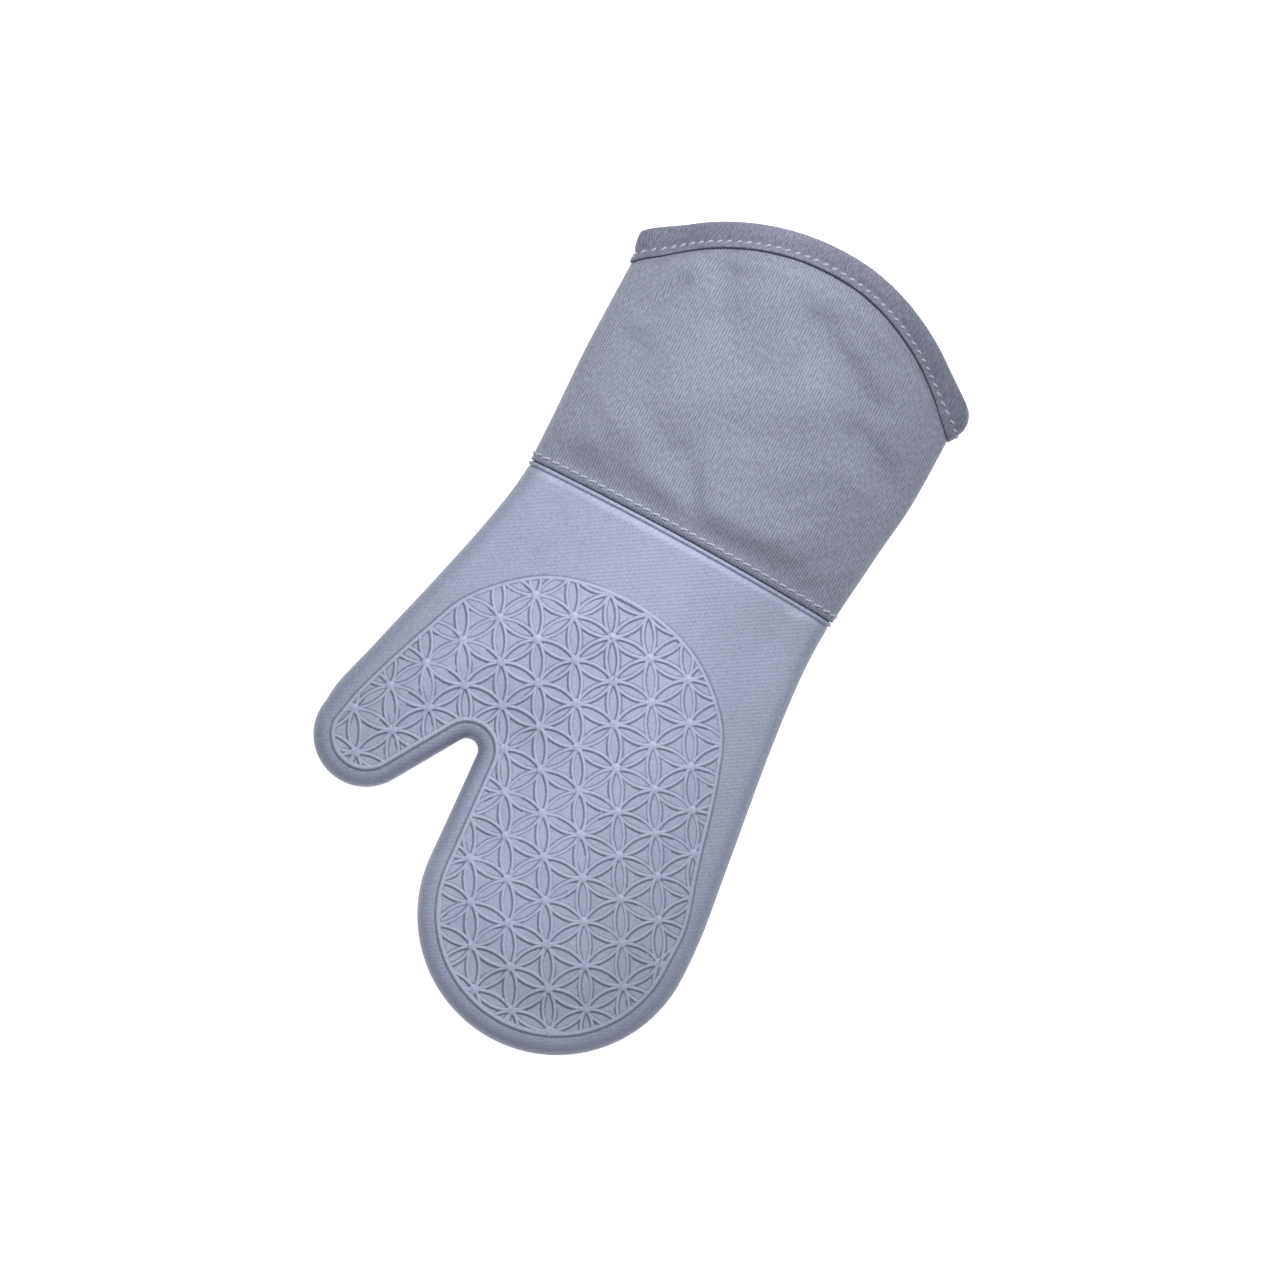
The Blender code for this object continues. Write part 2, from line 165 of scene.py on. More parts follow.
@dataclass(frozen=True)
class MittForm:
    """The outer skin of the mitt and the lines across it. Every piece takes its shape from here."""

    finger_end: Circle = Circle(36.25 * MM, -126.5 * MM, 61 * MM)
    thumb_end: Circle = Circle(-74.25 * MM, -96 * MM, 23 * MM)
    crotch: Circle = Circle(-32.5 * MM, -81.5 * MM, 5 * MM)
    thumb_side_angle: float = 166.0
    thumb_side: LongSide = LongSide(
        (
            (-90.4 * MM, -96.6 * MM),
            (-60 * MM, -89.7 * MM),
            (-25 * MM, -80.3 * MM),
            (10 * MM, -71.6 * MM),
            (37 * MM, -66.9 * MM),
            (60 * MM, -66.8 * MM),
            (100 * MM, -68.2 * MM),
            (160 * MM, -67.8 * MM),
        )
    )
    little_side: LongSide = LongSide(
        (
            (-126.5 * MM, 97.25 * MM),
            (-105 * MM, 96.2 * MM),
            (-75 * MM, 92.2 * MM),
            (-10 * MM, 83.6 * MM),
            (30 * MM, 81.1 * MM),
            (75 * MM, 84.9 * MM),
            (105 * MM, 88.2 * MM),
            (160 * MM, 88.5 * MM),
        )
    )
    panel_centre: tuple[float, float] = (11.8 * MM, -3.8 * MM)
    panel_scale: float = 0.995
    panel_arch: tuple[tuple[float, float], ...] = (
        (87.4, -105),
        (80, -80),
        (69.6, -42),
        (58, -17.5),
        (33, 2),
        (0, 8.8),
        (-35, 2),
        (-61, -20),
        (-72.5, -44),
        (-84.5, -78),
    )
    mouth_arch: Circle = Circle(10.6 * MM, 73.5 * MM, 112.6 * MM)
    mouth_droop: float = 2.8 * MM
    droop_span: tuple[float, float] = (20 * MM, 92 * MM)
    join_top: tuple[float, float] = (-10 * MM, 42 * MM)
    join_curve: float = 0.295
    glove_edge_radius: float = 11 * MM
    mouth_edge_radius: float = 7.5 * MM
    glove_dome: float = 5 * MM
    mouth_dome: float = 15 * MM
    dome_reach: float = 75 * MM
    cuff_lift: float = 3 * MM
    sole_lift: float = 0.8 * MM
    edge_square: float = 0.78
    ripple: float = 0.5 * MM
    ripple_size: float = 45 * MM

    def mouth_line(self, inset: float) -> Line:
        """The arch that lies inset below the mouth's edge.

        Args:
            inset: how far below the mouth's edge it lies.

        Returns:
            The arch, as a function of the place across the mitt.
        """
        arch = self.mouth_arch

        def line(x: Any) -> np.ndarray:
            """Height of the arch over a place across the mitt."""
            droop = self.mouth_droop * smoothstep(x, *self.droop_span)
            return arch.y + np.sqrt((arch.radius - inset) ** 2 - (np.asarray(x) - arch.x) ** 2) - droop

        return line

    def join_line(self, offset: float) -> Line:
        """The shallow arch that lies offset above the join of cuff and glove."""
        top_x, top_y = self.join_top
        return lambda x: top_y + offset - self.join_curve * (np.asarray(x) - top_x) ** 2

    def between(self, low: Line, high: Line, share: float) -> Line:
        """The line a share of the way from one line to another."""
        return lambda x: mix(low(x), high(x), share)

    def outline(self, line: Line, spacing: float) -> np.ndarray:
        """The mitt's edge from a line across it, round thumb, crotch and fingers, back up to the line.

        Args:
            line: the line across the mitt.
            spacing: distance between points.

        Returns:
            The edge's points, in order.
        """
        left, right = self.thumb_side.meet(line), self.little_side.meet(line)
        down = np.linspace(left[1], self.thumb_side.lowest, round((left[1] - self.thumb_side.lowest) / spacing))
        up = np.linspace(self.little_side.lowest, right[1], round((right[1] - self.little_side.lowest) / spacing))
        tips = round_the_tips(self.thumb_end, self.crotch, self.finger_end, self.thumb_side_angle, spacing)
        down_side = np.stack([self.thumb_side.x(down), down], 1)[:-1]
        up_side = np.stack([self.little_side.x(up), up], 1)[1:]
        return np.concatenate([down_side, tips, up_side])

    def panel(self, spacing: float) -> np.ndarray:
        """The relief panel's rim: the tips' outline moved inwards, closed by an arch over the palm.

        Args:
            spacing: distance between points.

        Returns:
            The rim's points, in order.
        """
        thumb, fingers = (c.resized(r) for c, r in ((self.thumb_end, 14.5 * MM), (self.finger_end, 52 * MM)))
        tips = round_the_tips(thumb, self.crotch.resized(13.5 * MM), fingers, 184.0, spacing)
        arch = smooth_curve(np.array([tips[-1], *np.array(self.panel_arch) * MM, tips[0]]), spacing)
        rim = np.concatenate([tips, arch[1:-1]])
        return self.panel_centre + (rim - self.panel_centre) * self.panel_scale

    def edge_radius(self, y: Any) -> np.ndarray:
        """Radius of the half-round edge, smaller where the cuff's sides pinch together."""
        return mix(self.glove_edge_radius, self.mouth_edge_radius, smoothstep(y, 60 * MM, 150 * MM))

    def base_z(self, y: Any) -> np.ndarray:
        """Height of the underside, which the binding lifts under the cuff."""
        return self.cuff_lift * smoothstep(y, -5 * MM, 75 * MM)

    def edge_distance(self, xy: np.ndarray) -> np.ndarray:
        """Distance from points to the mitt's edge.

        Args:
            xy: the flat points.

        Returns:
            One distance for each point.
        """
        edge = self.outline(self.mouth_line(0.0), 4 * MM)
        a, b = edge[:-1], edge[1:]
        along = b - a
        squared = np.maximum((along**2).sum(1), 1e-12)
        best = np.full(len(xy), np.inf)
        for start, step, size in zip(a, along, squared):
            share = np.clip((xy - start) @ step / size, 0, 1)
            best = np.minimum(best, np.linalg.norm(xy - start - share[:, None] * step, axis=1))
        return best

    def dome(self, xy: np.ndarray) -> np.ndarray:
        """Extra height of the upper side over its edge.

        Args:
            xy: the flat points.

        Returns:
            One height for each point.
        """
        y = xy[:, 1]
        radius = self.edge_radius(y)
        top = self.mouth_arch.y + self.mouth_arch.radius
        height = mix(self.glove_dome, self.mouth_dome, smoothstep(y, 30 * MM, top))
        share = np.clip((self.edge_distance(xy) - radius) / (self.dome_reach - radius), 0, 1)
        rise = (1 - (1 - share) ** 2) * smoothstep(share, 0, 0.3)
        waves = soft_noise(np.column_stack([xy, 0 * y]), self.ripple_size, 3.0) * self.ripple
        return height * rise + waves * smoothstep(share, 0, 0.5)

    def on_face(self, xy: np.ndarray, depth: np.ndarray, half: Half) -> np.ndarray:
        """Points of a layer's upper or lower face over flat points.

        Args:
            xy: the flat points.
            depth: how deep it lies below the outer skin.
            half: the upper or lower half.

        Returns:
            The points in space.
        """
        y = xy[:, 1]
        if half is Half.UPPER:
            z = self.base_z(y) + 2 * self.edge_radius(y) + self.dome(xy) - depth
        else:
            z = self.base_z(y) + depth + self.sole_lift
        return np.column_stack([xy, z])

    def on_edge(
        self, points: np.ndarray, inward: np.ndarray, depth: np.ndarray, degrees: float, half: Half
    ) -> np.ndarray:
        """Points on the half-round edge: 0 degrees is its outermost line and 90 its meeting with a face.

        Args:
            points: the points.
            inward: the direction into the mitt at each point.
            depth: how deep it lies below the outer skin.
            degrees: the angle round the edge, from 0 at its outermost line to 90 at a face.
            half: the upper or lower half.

        Returns:
            The points in space.
        """
        radius = self.edge_radius(points[:, 1])
        out, up = self.edge_shape(degrees)
        flat = points + inward * (radius - (radius - depth) * out)[:, None]
        lift = self.sole_lift if half is Half.LOWER else 0.0
        rise = (radius - depth - lift) * up * half.value
        return np.column_stack([flat, self.base_z(points[:, 1]) + radius + rise])

    def edge_shape(self, degrees: float) -> tuple[float, float]:
        """How far out and up a point of the rounded edge lies, as shares of its radius.

        Args:
            degrees: the angle round the edge, from 0 at its outermost line to 90 at a face.

        Returns:
            The two shares.
        """
        angle = math.radians(degrees)
        out, up = max(math.cos(angle), 0.0), max(math.sin(angle), 0.0)
        return out**self.edge_square, up**self.edge_square

    def cross_row(self, line: Line, depth: Depth, angles: Sequence[float], steps: int, half: Half) -> np.ndarray:
        """A row of points across the mitt: up the left edge, over the face and down the right edge.

        Args:
            line: the line across the mitt.
            depth: how deep it lies below the outer skin.
            angles: the angles at which the rounded edge is cut.
            steps: how many steps the face is cut into.
            half: the upper or lower half.

        Returns:
            The row's points.
        """
        left, right = self.thumb_side.meet(line)[None], self.little_side.meet(line)[None]
        ends = []
        for point, inward in ((left, 1.0), (right, -1.0)):
            normal = np.array([[inward, 0.0]])
            column = []
            for angle in angles:
                reach = (1 - self.edge_shape(angle)[0]) * self.edge_radius(point[:, 1])
                across = point[:, 0] + inward * reach
                place = np.stack([point[:, 0], line(across)], 1)
                column.append(self.on_edge(place, normal, depth(place, angle), angle, half)[0])
            ends.append(np.array(column))
        x0 = left[0, 0] + self.edge_radius(left[0, 1])
        x1 = right[0, 0] - self.edge_radius(right[0, 1])
        x = np.linspace(x0, x1, steps + 1)[1:-1]
        flat = np.stack([x, line(x)], 1)
        face = self.on_face(flat, depth(flat, 90.0), half)
        return np.concatenate([ends[0][::-1], face, ends[1]])


def round_the_tips(thumb: Circle, crotch: Circle, fingers: Circle, start: float, spacing: float) -> np.ndarray:
    """Points round the thumb, through the crotch and round the fingers to their little-finger side.

    Args:
        thumb: the circle of the thumb's tip.
        crotch: the small circle between thumb and fingers.
        fingers: the circle of the fingers' end.
        start: the angle to start at, in degrees.
        spacing: distance between points.

    Returns:
        The points, in order.
    """
    to_crotch = thumb.crossing_tangent(crotch, 1)
    to_fingers = crotch.crossing_tangent(fingers, -1)
    thumb_arc = thumb.arc(start, 270 + to_crotch, spacing)
    crotch_arc = crotch.arc(90 + to_crotch, 90 + to_fingers, spacing / 2)
    finger_arc = fingers.arc(270 + to_fingers, 360, spacing)
    web = straight(thumb_arc[-1], crotch_arc[0], spacing)
    inner_side = straight(crotch_arc[-1], finger_arc[0], spacing)
    return np.concatenate([thumb_arc, web, crotch_arc, inner_side, finger_arc])


def smooth_curve(stations: np.ndarray, spacing: float) -> np.ndarray:
    """A smooth curve through some stations, as evenly spaced points with both ends.

    Args:
        stations: the points it goes through.
        spacing: distance between points.

    Returns:
        The curve's points.
    """
    padded = np.concatenate([[2 * stations[0] - stations[1]], stations, [2 * stations[-1] - stations[-2]]])
    fine = [stations[:1]]
    t = np.linspace(0, 1, 25)[1:, None]
    for a, b, c, d in zip(padded, padded[1:], padded[2:], padded[3:]):
        square, cube = 2 * a - 5 * b + 4 * c - d, 3 * b - a - 3 * c + d
        fine.append(0.5 * (2 * b + (c - a) * t + square * t**2 + cube * t**3))
    return evenly(np.concatenate(fine), spacing)


def lengths_along(points: np.ndarray) -> np.ndarray:
    """Length of a path up to each of its points."""
    return np.concatenate([[0.0], np.cumsum(np.linalg.norm(np.diff(points, axis=0), axis=1))])


def evenly(points: np.ndarray, spacing: float) -> np.ndarray:
    """A path cut again into even steps.

    Args:
        points: the points.
        spacing: distance between points.

    Returns:
        The new points.
    """
    along = lengths_along(points)
    places = np.linspace(0, along[-1], max(2, round(along[-1] / spacing) + 1))
    return np.stack([np.interp(places, along, channel) for channel in points.T], 1)


def straight(start: np.ndarray, end: np.ndarray, spacing: float) -> np.ndarray:
    """Points strictly between two ends of a straight stretch."""
    count = max(2, round(float(np.linalg.norm(end - start)) / spacing))
    return np.linspace(start, end, count + 1)[1:-1]


def inward_normals(points: np.ndarray) -> np.ndarray:
    """Direction into the mitt at each point of its edge. The two ends point straight across.

    Args:
        points: the points.

    Returns:
        One flat direction for each point.
    """
    along = points[2:] - points[:-2]
    along /= np.linalg.norm(along, axis=1)[:, None]
    middle = np.stack([-along[:, 1], along[:, 0]], 1)
    return np.concatenate([[[1.0, 0.0]], middle, [[-1.0, 0.0]]])


def level(depth: float) -> Depth:
    """A layer at one depth everywhere."""
    return lambda xy, angle: np.full(len(xy), depth)


def edge_angles(steps: int, split: float = 0.0) -> list[float]:
    """Angles at which the half-round edge is cut, from its face to the split."""
    return list(np.linspace(90.0, split, steps + 1))


def soft_noise(points: np.ndarray, size: float, seed: float) -> np.ndarray:
    """Smooth noise from -1 to 1 at points, with lumps of about a size."""
    shift = Vector((seed, 2 * seed, 3 * seed))
    return np.array([noise.noise(Vector(p) / size + shift) for p in points])


# ---------------------------------------------------------------- meshes


class Shell:
    """Rows and triangles gathered into one closed mesh."""

    def __init__(self) -> None:
        """Starts with no points and no faces."""
        self.points: list[np.ndarray] = []
        self.cloth: list[np.ndarray] = []
        self.faces: list[tuple[int, ...]] = []
        self.count = 0

    def add(self, points: np.ndarray, cloth: np.ndarray | None = None) -> np.ndarray:
        """Adds points and returns their numbers.

        Args:
            points: the points.
            cloth: where each lies on the flat cloth, in metres, or None where that is its x and y.

        Returns:
            The points' numbers.
        """
        self.points.append(np.asarray(points, float))
        self.cloth.append(self.points[-1][:, :2] if cloth is None else np.asarray(cloth, float))
        start, self.count = self.count, self.count + len(points)
        return np.arange(start, self.count)

    def bridge(self, first: Sequence[int], second: Sequence[int], closed: bool = False) -> None:
        """Four-sided faces between two rows of points.

        Args:
            first: the numbers of the first row.
            second: the numbers of the second row.
            closed: whether each runs round to its start.
        """
        a, b = list(first), list(second)
        if closed:
            a, b = a + a[:1], b + b[:1]
        self.faces += [(a[i], a[i + 1], b[i + 1], b[i]) for i in range(len(a) - 1)]

    def stack(self, rows: Sequence[Sequence[int]], closed: bool = False) -> None:
        """Faces between each row and the next."""
        for first, second in zip(rows, rows[1:]):
            self.bridge(first, second, closed)

    def build(self, name: str) -> bpy.types.Object:
        """Welds the surface, points its faces outwards and makes the object.

        Args:
            name: its name.

        Returns:
            The new object.
        """
        mesh = bpy.data.meshes.new(name)
        mesh.from_pydata(np.concatenate(self.points).tolist(), [], [tuple(map(int, f)) for f in self.faces])
        corners = np.empty(len(mesh.loops), int)
        mesh.loops.foreach_get("vertex_index", corners)
        flat = np.concatenate(self.cloth)[corners]
        mesh.uv_layers.new(name="cloth").data.foreach_set("uv", flat.ravel())
        bm = bmesh.new()
        bm.from_mesh(mesh)
        bmesh.ops.remove_doubles(bm, verts=bm.verts, dist=WELD)
        bmesh.ops.recalc_face_normals(bm, faces=bm.faces)
        bm.to_mesh(mesh)
        bm.free()
        mesh.shade_smooth()
        return link(name, mesh)


def link(name: str, data: Any) -> bpy.types.Object:
    """Puts a mesh, curve or light in the scene under a name.

    Args:
        name: its name.
        data: the mesh, curve or light.

    Returns:
        The new object.
    """
    item = bpy.data.objects.new(name, data)
    bpy.context.scene.collection.objects.link(item)
    return item


def inside(points: np.ndarray, rim: np.ndarray) -> np.ndarray:
    """Which points lie inside a closed rim.

    Args:
        points: the points.
        rim: the rim's flat points, in order.

    Returns:
        True for each point inside.
    """
    crossings = np.zeros(len(points), int)
    for a, b in zip(rim, np.roll(rim, -1, axis=0)):
        spans = (a[1] > points[:, 1]) != (b[1] > points[:, 1])
        height = b[1] - a[1] if b[1] != a[1] else 1.0
        crossings += spans & (points[:, 0] < a[0] + (points[:, 1] - a[1]) * (b[0] - a[0]) / height)
    return crossings % 2 == 1


class Cap:
    """The flat fill of a rim: its inner points and triangles, shared by every layer with that rim."""

    def __init__(self, rim: np.ndarray, spacing: float) -> None:
        """Fills a closed rim.

        Args:
            rim: the rim's flat points, in order.
            spacing: distance between the inner points.
        """
        low, high = rim.min(0), rim.max(0)
        xs, ys = (np.arange(low[i] + spacing / 2, high[i], spacing) for i in (0, 1))
        grid = np.stack(np.meshgrid(xs, ys), -1).reshape(-1, 2)
        grid = grid[inside(grid, rim)]
        nearest = np.full(len(grid), np.inf)
        for corner in rim:
            nearest = np.minimum(nearest, np.linalg.norm(grid - corner, axis=1))
        grid = grid[nearest > 0.6 * spacing]
        edges = [(i, (i + 1) % len(rim)) for i in range(len(rim))]
        everything = [Vector(p) for p in np.concatenate([rim, grid])]
        filled = delaunay_2d_cdt(everything, edges, [], 1, 1e-8)
        self.inner = np.array([tuple(p) for p in filled[0][len(rim) :]]).reshape(-1, 2)
        self.faces = filled[2]


@dataclass
class BagMaker:
    """Makes mitt-shaped bags, closed round the hand and open along a line across the mitt."""

    form: MittForm
    line: Line
    spacing: float
    cap_spacing: float
    cross_steps: int
    edge_steps: int
    caps: dict[float, Cap] = field(default_factory=dict)

    def half(self, shell: Shell, depth: Depth, split: float, half: Half) -> tuple[np.ndarray, np.ndarray]:
        """Adds one half of a bag to a shell.

        Args:
            shell: the shell that gets the points and faces.
            depth: the layer's depth at flat points and an edge angle.
            split: the edge angle at which the half ends.
            half: the upper or lower half.

        Returns:
            The point numbers along the split, and those along the opening.
        """
        edge = self.form.outline(self.line, self.spacing)
        normals = inward_normals(edge)
        angles = edge_angles(self.edge_steps, split)
        rows = [shell.add(self.form.on_edge(edge, normals, depth(edge, a), a, half)) for a in angles]
        shell.stack(rows)
        opening = self.form.cross_row(self.line, depth, angles, self.cross_steps, half)
        across = opening[len(angles) : -len(angles)]
        rim_numbers = list(rows[0]) + list(shell.add(across))[::-1]
        ring = self.form.on_edge(edge, normals, depth(edge, 90.0), 90.0, half)
        rim = np.concatenate([ring[:, :2], across[::-1, :2]])
        if split not in self.caps:
            self.caps[split] = Cap(rim, self.cap_spacing)
        cap = self.caps[split]
        inner = self.form.on_face(cap.inner, depth(cap.inner, 90.0), half)
        numbers = rim_numbers + list(shell.add(inner))
        shell.faces += [tuple(numbers[i] for i in face) for face in cap.faces]
        across_numbers = rim_numbers[len(rows[0]) :][::-1]
        left, right = [row[0] for row in rows[::-1]], [row[-1] for row in rows]
        return rows[-1], np.array(left + across_numbers + right)


# ---------------------------------------------------------------- node trees


class Value:
    """A number socket of a node tree, on which Python's operators add Math nodes."""

    def __init__(self, graph: "Graph", socket: Any) -> None:
        """Wraps a socket of a graph."""
        self.graph = graph
        self.socket = socket

    def _math(self, operation: str, *others: Any) -> "Value":
        """A Math node on this value and others."""
        kind = "ShaderNodeMath"
        return Value(self.graph, self.graph.out(kind, {"operation": operation}, dict(enumerate((self, *others)))))

    def __add__(self, other: Any) -> "Value":
        """This value plus another."""
        return self._math("ADD", other)

    __radd__ = __add__

    def __mul__(self, other: Any) -> "Value":
        """This value times another."""
        return self._math("MULTIPLY", other)

    __rmul__ = __mul__

    def __sub__(self, other: Any) -> "Value":
        """This value less another."""
        return self._math("SUBTRACT", other)

    def __rsub__(self, other: Any) -> "Value":
        """Another value less this one."""
        return (self * -1.0) + other

    def __truediv__(self, other: Any) -> "Value":
        """This value over another."""
        return self._math("DIVIDE", other)

    def wave(self) -> "Value":
        """A smooth wave from 0 to 1 that repeats each time this value grows by 1."""
        return (self * (2 * math.pi))._math("SINE") * 0.5 + 0.5

    def floor(self) -> "Value":
        """The whole number below this value."""
        return self._math("FLOOR")

    def remainder(self, other: Any) -> "Value":
        """What is left of this value after whole steps of another."""
        return self._math("FLOORED_MODULO", other)

    def above(self, other: Any) -> "Value":
        """1 where this value is more than another, and 0 elsewhere."""
        return self._math("GREATER_THAN", other)

    def size(self) -> "Value":
        """This value without its sign."""
        return self._math("ABSOLUTE")


class Graph:
    """A node tree that is built by calls, for shaders and for geometry alike."""

    def __init__(self, tree: Any) -> None:
        """Wraps an empty node tree."""
        self.tree = tree

    def node(
        self, kind: str, settings: dict[str, Any] | None = None, inputs: dict[Any, Any] | None = None
    ) -> Any:
        """Adds a node.

        Args:
            kind: the node's type.
            settings: its own settings, which are set first.
            inputs: values, links or Value objects, by socket name or number.

        Returns:
            The new node.
        """
        made = self.tree.nodes.new(kind)
        for name, value in (settings or {}).items():
            setattr(made, name, value)
        self.feed(made, inputs or {})
        return made

    def feed(self, node: Any, inputs: dict[Any, Any]) -> None:
        """Gives a node its inputs.

        Args:
            node: the node.
            inputs: values, links or Value objects, by socket name or number.
        """
        for name, value in inputs.items():
            source = value.socket if isinstance(value, Value) else value
            if isinstance(source, bpy.types.NodeSocket):
                self.tree.links.new(source, node.inputs[name])
            else:
                node.inputs[name].default_value = source

    def value(
        self,
        kind: str,
        output: Any = 0,
        settings: dict[str, Any] | None = None,
        inputs: dict[Any, Any] | None = None,
    ) -> Value:
        """Adds a node and wraps one of its outputs."""
        return Value(self, self.node(kind, settings, inputs).outputs[output])

    def out(
        self, kind: str, settings: dict[str, Any] | None = None, inputs: dict[Any, Any] | None = None
    ) -> Any:
        """Adds a node and returns its first output."""
        return self.node(kind, settings, inputs).outputs[0]

    def smooth_noise(self, place: Any, scale: float, detail: float = 2.0) -> Value:
        """Smooth noise from 0 to 1."""
        inputs = {"Vector": place, "Scale": scale, "Detail": detail}
        return self.value("ShaderNodeTexNoise", "Fac", None, inputs)

    def split(self, vector: Any) -> tuple[Value, Value]:
        """The X and the Y of a vector."""
        parts = self.node("ShaderNodeSeparateXYZ", None, {0: vector})
        return Value(self, parts.outputs["X"]), Value(self, parts.outputs["Y"])

    def blend(self, share: Any, first: Any, second: Any) -> Any:
        """A colour a share of the way from one to another."""
        mixed = {"Factor": share, 6: first, 7: second}
        return self.node("ShaderNodeMix", {"data_type": "RGBA"}, mixed).outputs[2]


def colour(red: int, green: int, blue: int) -> tuple[float, float, float, float]:
    """A display colour from 0 to 255 as linear values with alpha.

    Args:
        red: the red channel.
        green: the green channel.
        blue: the blue channel.

    Returns:
        The linear colour.
    """
    channels = [c / 255 for c in (red, green, blue)]
    linear = [c / 12.92 if c <= 0.04045 else ((c + 0.055) / 1.055) ** 2.4 for c in channels]
    return (*linear, 1.0)


def start_material(name: str) -> tuple[bpy.types.Material, Graph, Any]:
    """A new material, its graph and its Principled shader.

    Args:
        name: its name.

    Returns:
        The material, its graph and its shader.
    """
    material = bpy.data.materials.new(name)
    material.use_nodes = True
    material.node_tree.nodes.clear()
    graph = Graph(material.node_tree)
    shader = graph.node("ShaderNodeBsdfPrincipled")
    graph.node("ShaderNodeOutputMaterial", None, {"Surface": shader.outputs["BSDF"]})
    return material, graph, shader


def scaled(tone: tuple[float, ...], factor: float) -> tuple[float, ...]:
    """A colour made lighter or darker."""
    return (*[c * factor for c in tone[:3]], 1.0)


def surface(
    graph: Graph, shader: Any, tint: Any, rough: Any, relief: Value, height: float, strength: float
) -> None:
    """Gives a shader its colour, its roughness and its fine relief.

    Args:
        graph: the shader's graph.
        shader: the Principled shader.
        tint: the colour, as a socket.
        rough: the roughness, as a number or a Value.
        relief: the relief, from 0 to 1.
        height: the relief's full height.
        strength: how strongly the relief shows.
    """
    bump = graph.node("ShaderNodeBump", None, {"Height": relief, "Distance": height, "Strength": strength})
    graph.feed(shader, {"Base Color": tint, "Roughness": rough, "Normal": bump.outputs["Normal"]})


# ---------------------------------------------------------------- finishes


@dataclass(frozen=True)
class SiliconeFinish:
    """Soft matte silicone with a fine knurl moulded into it outside the relief panel, its colour carrying painted
    shade and painted highlights from the 'shade' attribute.
    """

    tone: tuple[float, ...] = colour(170, 176, 200)
    roughness: float = 0.5
    knurl: float = 1.6 * MM
    knurl_height: float = 0.08 * MM
    knurl_shares: tuple[float, float] = (0.72, 0.28)
    angles: tuple[float, float] = (32.0, 148.0)
    darkest: float = 0.45
    lightest: float = 1.55
    middle: float = 0.61
    clouds: float = 0.25
    specks: float = 0.5
    # how strongly the painted shade and painted highlights of the 'shade' attribute show
    painted_shading: float = 0.3
    border_dark: float = 0.11

    def material(self) -> bpy.types.Material:
        """Builds the material.

        Returns:
            The material.
        """
        made, graph, shader = start_material("silicone")
        place = graph.node("ShaderNodeTexCoord").outputs["Object"]
        cloud = graph.smooth_noise(place, 28.0, 3.0)
        speck = graph.smooth_noise(place, 900.0)
        shade = graph.value("ShaderNodeAttribute", "Fac", {"attribute_name": "shade"})
        border = graph.value("ShaderNodeAttribute", "Fac", {"attribute_name": "border"})
        mottled = (cloud - 0.5) * self.clouds + (speck - 0.5) * self.specks
        # the 'shade' attribute adds painted shade and painted highlights: darker at the relief's corners and
        # skirts and at the skin's outer edge, lighter on ridge and hub tops
        share = mottled + shade * self.painted_shading - border * self.border_dark + self.middle
        tint = graph.blend(share, scaled(self.tone, self.darkest), scaled(self.tone, self.lightest))
        rough = cloud * 0.14 + (self.roughness - 0.07)
        x, y = graph.split(place)
        rising, falling = (
            ((x * -math.sin(math.radians(a)) + y * math.cos(math.radians(a))) / self.knurl).wave()
            for a in self.angles
        )
        first, second = self.knurl_shares
        relief = (rising * first + falling * second) * border + speck * 0.5
        surface(graph, shader, tint, rough, relief, self.knurl_height, 1.0)
        return made


@dataclass(frozen=True)
class WeaveFinish:
    """Woven cloth: slanting yarn lines broken by cross yarns, in two close tones."""

    name: str
    tone: tuple[float, ...]
    pitch: float
    slant: float
    cross: float
    contrast: float
    height: float
    lines: float = 1.0
    flecks: float = 2.4
    streaks: float = 1100.0
    roughness: float = 0.88

    def material(self) -> bpy.types.Material:
        """Builds the material from the piece's own map, which is in metres.

        Returns:
            The material.
        """
        made, graph, shader = start_material(self.name)
        cloth_map = graph.node("ShaderNodeUVMap", {"uv_map": "cloth"}).outputs["UV"]
        u, v = graph.split(cloth_map)
        drift = graph.smooth_noise(cloth_map, 60.0)
        drawn = graph.out("ShaderNodeVectorMath", {"operation": "MULTIPLY"}, {0: cloth_map, 1: (1.0, 0.4, 1.0)})
        yarn = graph.smooth_noise(drawn, self.streaks)
        across = (u + v * self.slant) / self.pitch + drift * 0.5
        along = v / self.cross + across.floor() * 0.5
        weave = across.wave() * (along.wave() * 0.35 + 0.65)
        patch = graph.smooth_noise(cloth_map, 22.0, 5.0)
        share = (weave - 0.42) * self.lines + (yarn - 0.5) * self.flecks + (patch - 0.5) * 0.8 + 0.5
        dark, light = scaled(self.tone, 1 - self.contrast), scaled(self.tone, 1 + self.contrast)
        tint = graph.blend(share, dark, light)
        graph.feed(shader, {"Sheen Weight": 0.15, "Sheen Roughness": 0.5})
        surface(graph, shader, tint, self.roughness, weave + yarn * 0.5, self.height, 0.8)
        return made


CUFF_CLOTH = WeaveFinish(
    name="cuff_cloth",
    tone=colour(148, 152, 168),
    pitch=1.25 * MM,
    slant=0.05,
    cross=1.4 * MM,
    contrast=0.26,
    height=0.16 * MM,
)
BINDING_CLOTH = WeaveFinish(
    name="binding_cloth",
    tone=colour(130, 133, 149),
    pitch=1.2 * MM,
    slant=0.15,
    cross=2.0 * MM,
    contrast=0.3,
    height=0.16 * MM,
    lines=0.5,
    flecks=2.6,
)
LINING_CLOTH = WeaveFinish(
    name="lining",
    tone=colour(196, 199, 208),
    pitch=0.7 * MM,
    slant=0.0,
    cross=0.7 * MM,
    contrast=0.06,
    height=0.06 * MM,
)


